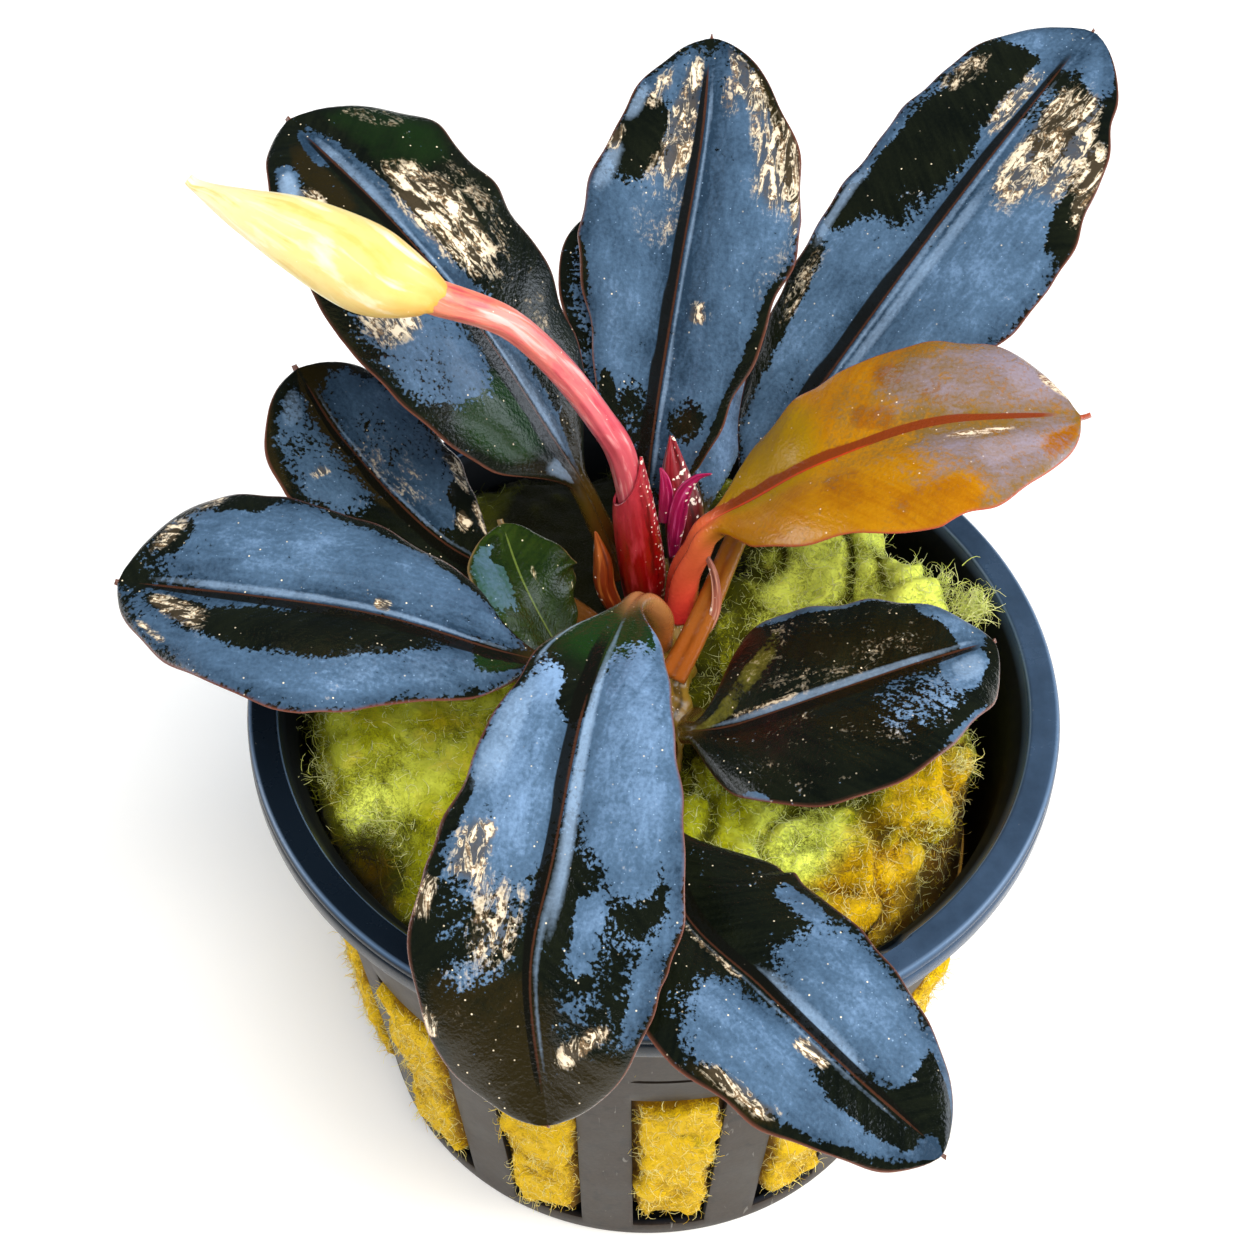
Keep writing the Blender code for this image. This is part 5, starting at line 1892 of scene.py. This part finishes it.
    @staticmethod
    def joined(bundles: list[Strands]) -> Strands:
        """Joins bundles of strands.

        Args:
            bundles: points, faces and tones of each.

        Returns:
            Points, faces and tones of all.
        """
        starts = np.cumsum([0] + [len(points) for points, _, _ in bundles])
        points, faces, tones = zip(*bundles)
        faces = [part + start for part, start in zip(faces, starts)]
        return np.concatenate(points), np.concatenate(faces), np.concatenate(tones)

    def strands(self, spots: Array, normals: Array, length: float, rng: np.random.Generator,
                lean: Point = (0.0, 0.0, 0.0)) -> Strands:
        """Curled strands that start at spots and wander off along the surface.

        Args:
            spots: where they start, in millimetres.
            normals: the surface's normal there.
            length: their mean length.
            rng: source of the random numbers.
            lean: direction that they lean towards.

        Returns:
            Points, faces and each point's tone.
        """
        amount, segments, corners = len(spots), self.strand_rings - 1, self.strand_sides
        reach = length * rng.uniform(0.45, 1.6, amount)
        way = unit(rng.normal(size=(amount, 3)))
        way = unit(way - normals * (way * normals).sum(1, keepdims=True))
        way = unit(way + normals * rng.uniform(-0.05, 0.50, (amount, 1)) + np.array(lean))
        curl = unit(rng.normal(size=(amount, 3))) * rng.uniform(0.3, 1.7, (amount, 1))
        line = [spots - normals * 0.10]
        for step in range(segments):
            line.append(line[-1] + way * (reach / segments)[:, None])
            curl = curl + 0.25 * rng.normal(size=(amount, 3))
            sink = normals * (0.22 * step / segments)
            way = unit(way + 0.75 * np.cross(way, curl) + 0.1 * curl - sink)
        line = np.stack(line, axis=1)
        tangent = unit(np.gradient(line, axis=1))
        side = unit(np.cross(tangent, normals[:, None, :] + 0.01))
        other = np.cross(tangent, side)
        taper = np.linspace(1.0, 0.35, self.strand_rings)[None, :, None]
        width = rng.uniform(*self.strand_radius, (amount, 1, 1)) * taper
        turns = [2 * pi * corner / corners for corner in range(corners)]
        rings = [line + width * (side * cos(turn) + other * sin(turn)) for turn in turns]
        points = np.stack(rings, axis=2).reshape(-1, 3)
        size = self.strand_rings * corners
        faces = grid(self.strand_rings, corners)[None] + np.arange(amount)[:, None, None] * size
        return points, faces.reshape(-1, 4), np.repeat(rng.uniform(0.0, 1.0, amount), size)


@dataclass(frozen=True)
class Softbox:
    """Square softbox that faces the plant.

    It stands at an azimuth from the front towards +X and an elevation over the rim, both in degrees. Its
    distance and size are metres and its power is watts. Wet and glossy skins show it only if it is mirrored.
    """

    name: str
    azimuth: float
    elevation: float
    distance: float
    size: float
    power: float
    colour: str
    mirrored: bool = False

    def add(self) -> None:
        """Adds the light."""
        data = bpy.data.lights.new(self.name, "AREA")
        data.shape = "SQUARE"
        data.size = self.size
        data.energy = self.power
        data.color = linear(self.colour)[:3]
        made = placed(self.name, data)
        made.visible_glossy = self.mirrored
        turn, rise = radians(self.azimuth), radians(self.elevation)
        way = Vector((sin(turn) * cos(rise), -cos(turn) * cos(rise), sin(rise)))
        made.location = way * self.distance + Vector((0, 0, POT_HEIGHT * MM))
        made.rotation_euler = way.to_track_quat("Z", "Y").to_euler()


SOFTBOXES = (
    Softbox("key softbox", 15.0, 62.0, 0.90, 0.35, 6.3, "#fff9f0"),
    Softbox("side softbox", 70.0, 48.0, 0.95, 0.50, 5.4, "#fffaf0"),
    Softbox("top softbox", 180.0, 84.0, 1.10, 0.90, 3.6, "#eef3fa"),
    Softbox("front softbox", 0.0, 20.0, 1.00, 0.70, 2.5, "#fffaf2"),
    Softbox("left strip", -98.0, 16.0, 0.90, 0.40, 3.2, "#f4f8ff", True),
    Softbox("right strip", 88.0, 16.0, 0.95, 0.55, 5.5, "#e4eefc", True),
)


@dataclass
class Studio:
    """Pale floor, soft lights and the camera."""

    target: Point = (-1.72, 4.5, POT_HEIGHT)
    elevation: float = 50.57
    roll: float = 0.90
    distance: float = 156.9
    focal_pixels: float = 2500.0
    frame_pixels: float = 1254.0
    sensor: float = 36.0
    floor_size: float = 3.2
    floor_tone: str = "#f6f6f5"

    def camera(self) -> None:
        """Adds the camera at the photograph's place."""
        rise, tip = radians(self.elevation), radians(self.roll)
        back = Vector((0.0, -cos(rise), sin(rise)))
        level = Vector((1.0, 0.0, 0.0))
        over = back.cross(level)
        right = level * cos(tip) + over * sin(tip)
        over = over * cos(tip) - level * sin(tip)
        data = bpy.data.cameras.new("camera")
        data.sensor_width = self.sensor
        data.sensor_height = self.sensor
        data.lens = self.focal_pixels / self.frame_pixels * self.sensor
        data.clip_start = 0.005
        data.clip_end = 20.0
        made = placed("camera", data)
        place = (Vector(self.target) + back * self.distance) * MM
        made.matrix_world = Matrix.Translation(place) @ Matrix((right, over, back)).transposed().to_4x4()
        bpy.context.scene.camera = made

    def floor(self) -> None:
        """Adds the pale matt floor."""
        emulsion, tree = new_material("emulsion paint, pale matt", Roughness=0.9,
                                      Emission_Color=linear(self.floor_tone), Emission_Strength=0.12)
        fleck = add_node(tree, "TexNoise", {"Vector": millimetres(tree), "Scale": 1 / 40.0})
        colour = paint(tree, self.floor_tone, (fleck, "#fbfbfa"))
        mesh = bpy.data.meshes.new("floor")
        half = self.floor_size / 2
        mesh.from_pydata([(-half, -half, 0), (half, -half, 0), (half, half, 0), (-half, half, 0)], [],
                         [(0, 1, 2, 3)])
        mesh.materials.append(dressed(emulsion, Base_Color=colour))
        made = placed("floor", mesh)

    def sky(self) -> None:
        """Sets a plain pale surrounding, dim enough to leave dark leaves dark."""
        world = bpy.data.worlds.new("studio")
        world.use_nodes = True
        tree = world.node_tree
        back = tree.nodes["Background"]
        seen = add_node(tree, "LightPath", give="Is Camera Ray")
        tree.links.new(paint(tree, "#8ea2b8", (seen, "#f2f2f2")), back.inputs["Color"])
        power = add_node(tree, "MapRange", {"Value": seen, "To Min": 0.22, "To Max": 1.0})
        tree.links.new(power, back.inputs["Strength"])
        bpy.context.scene.world = world

    def build(self) -> None:
        """Sets up the studio."""
        self.camera()
        self.floor()
        self.sky()
        for softbox in SOFTBOXES:
            softbox.add()
        bpy.context.scene.view_settings.view_transform = "Standard"


def main() -> None:
    """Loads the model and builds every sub-assembly around it."""
    logging.basicConfig(level=logging.INFO, format="%(name)s: %(message)s")
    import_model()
    Studio().build()
    NetPot().build()
    Wool().build()
    for leaf in LEAVES:
        leaf.build()
    for shoot in SHOOTS:
        shoot.build()


if __name__ == "__main__":
    main()
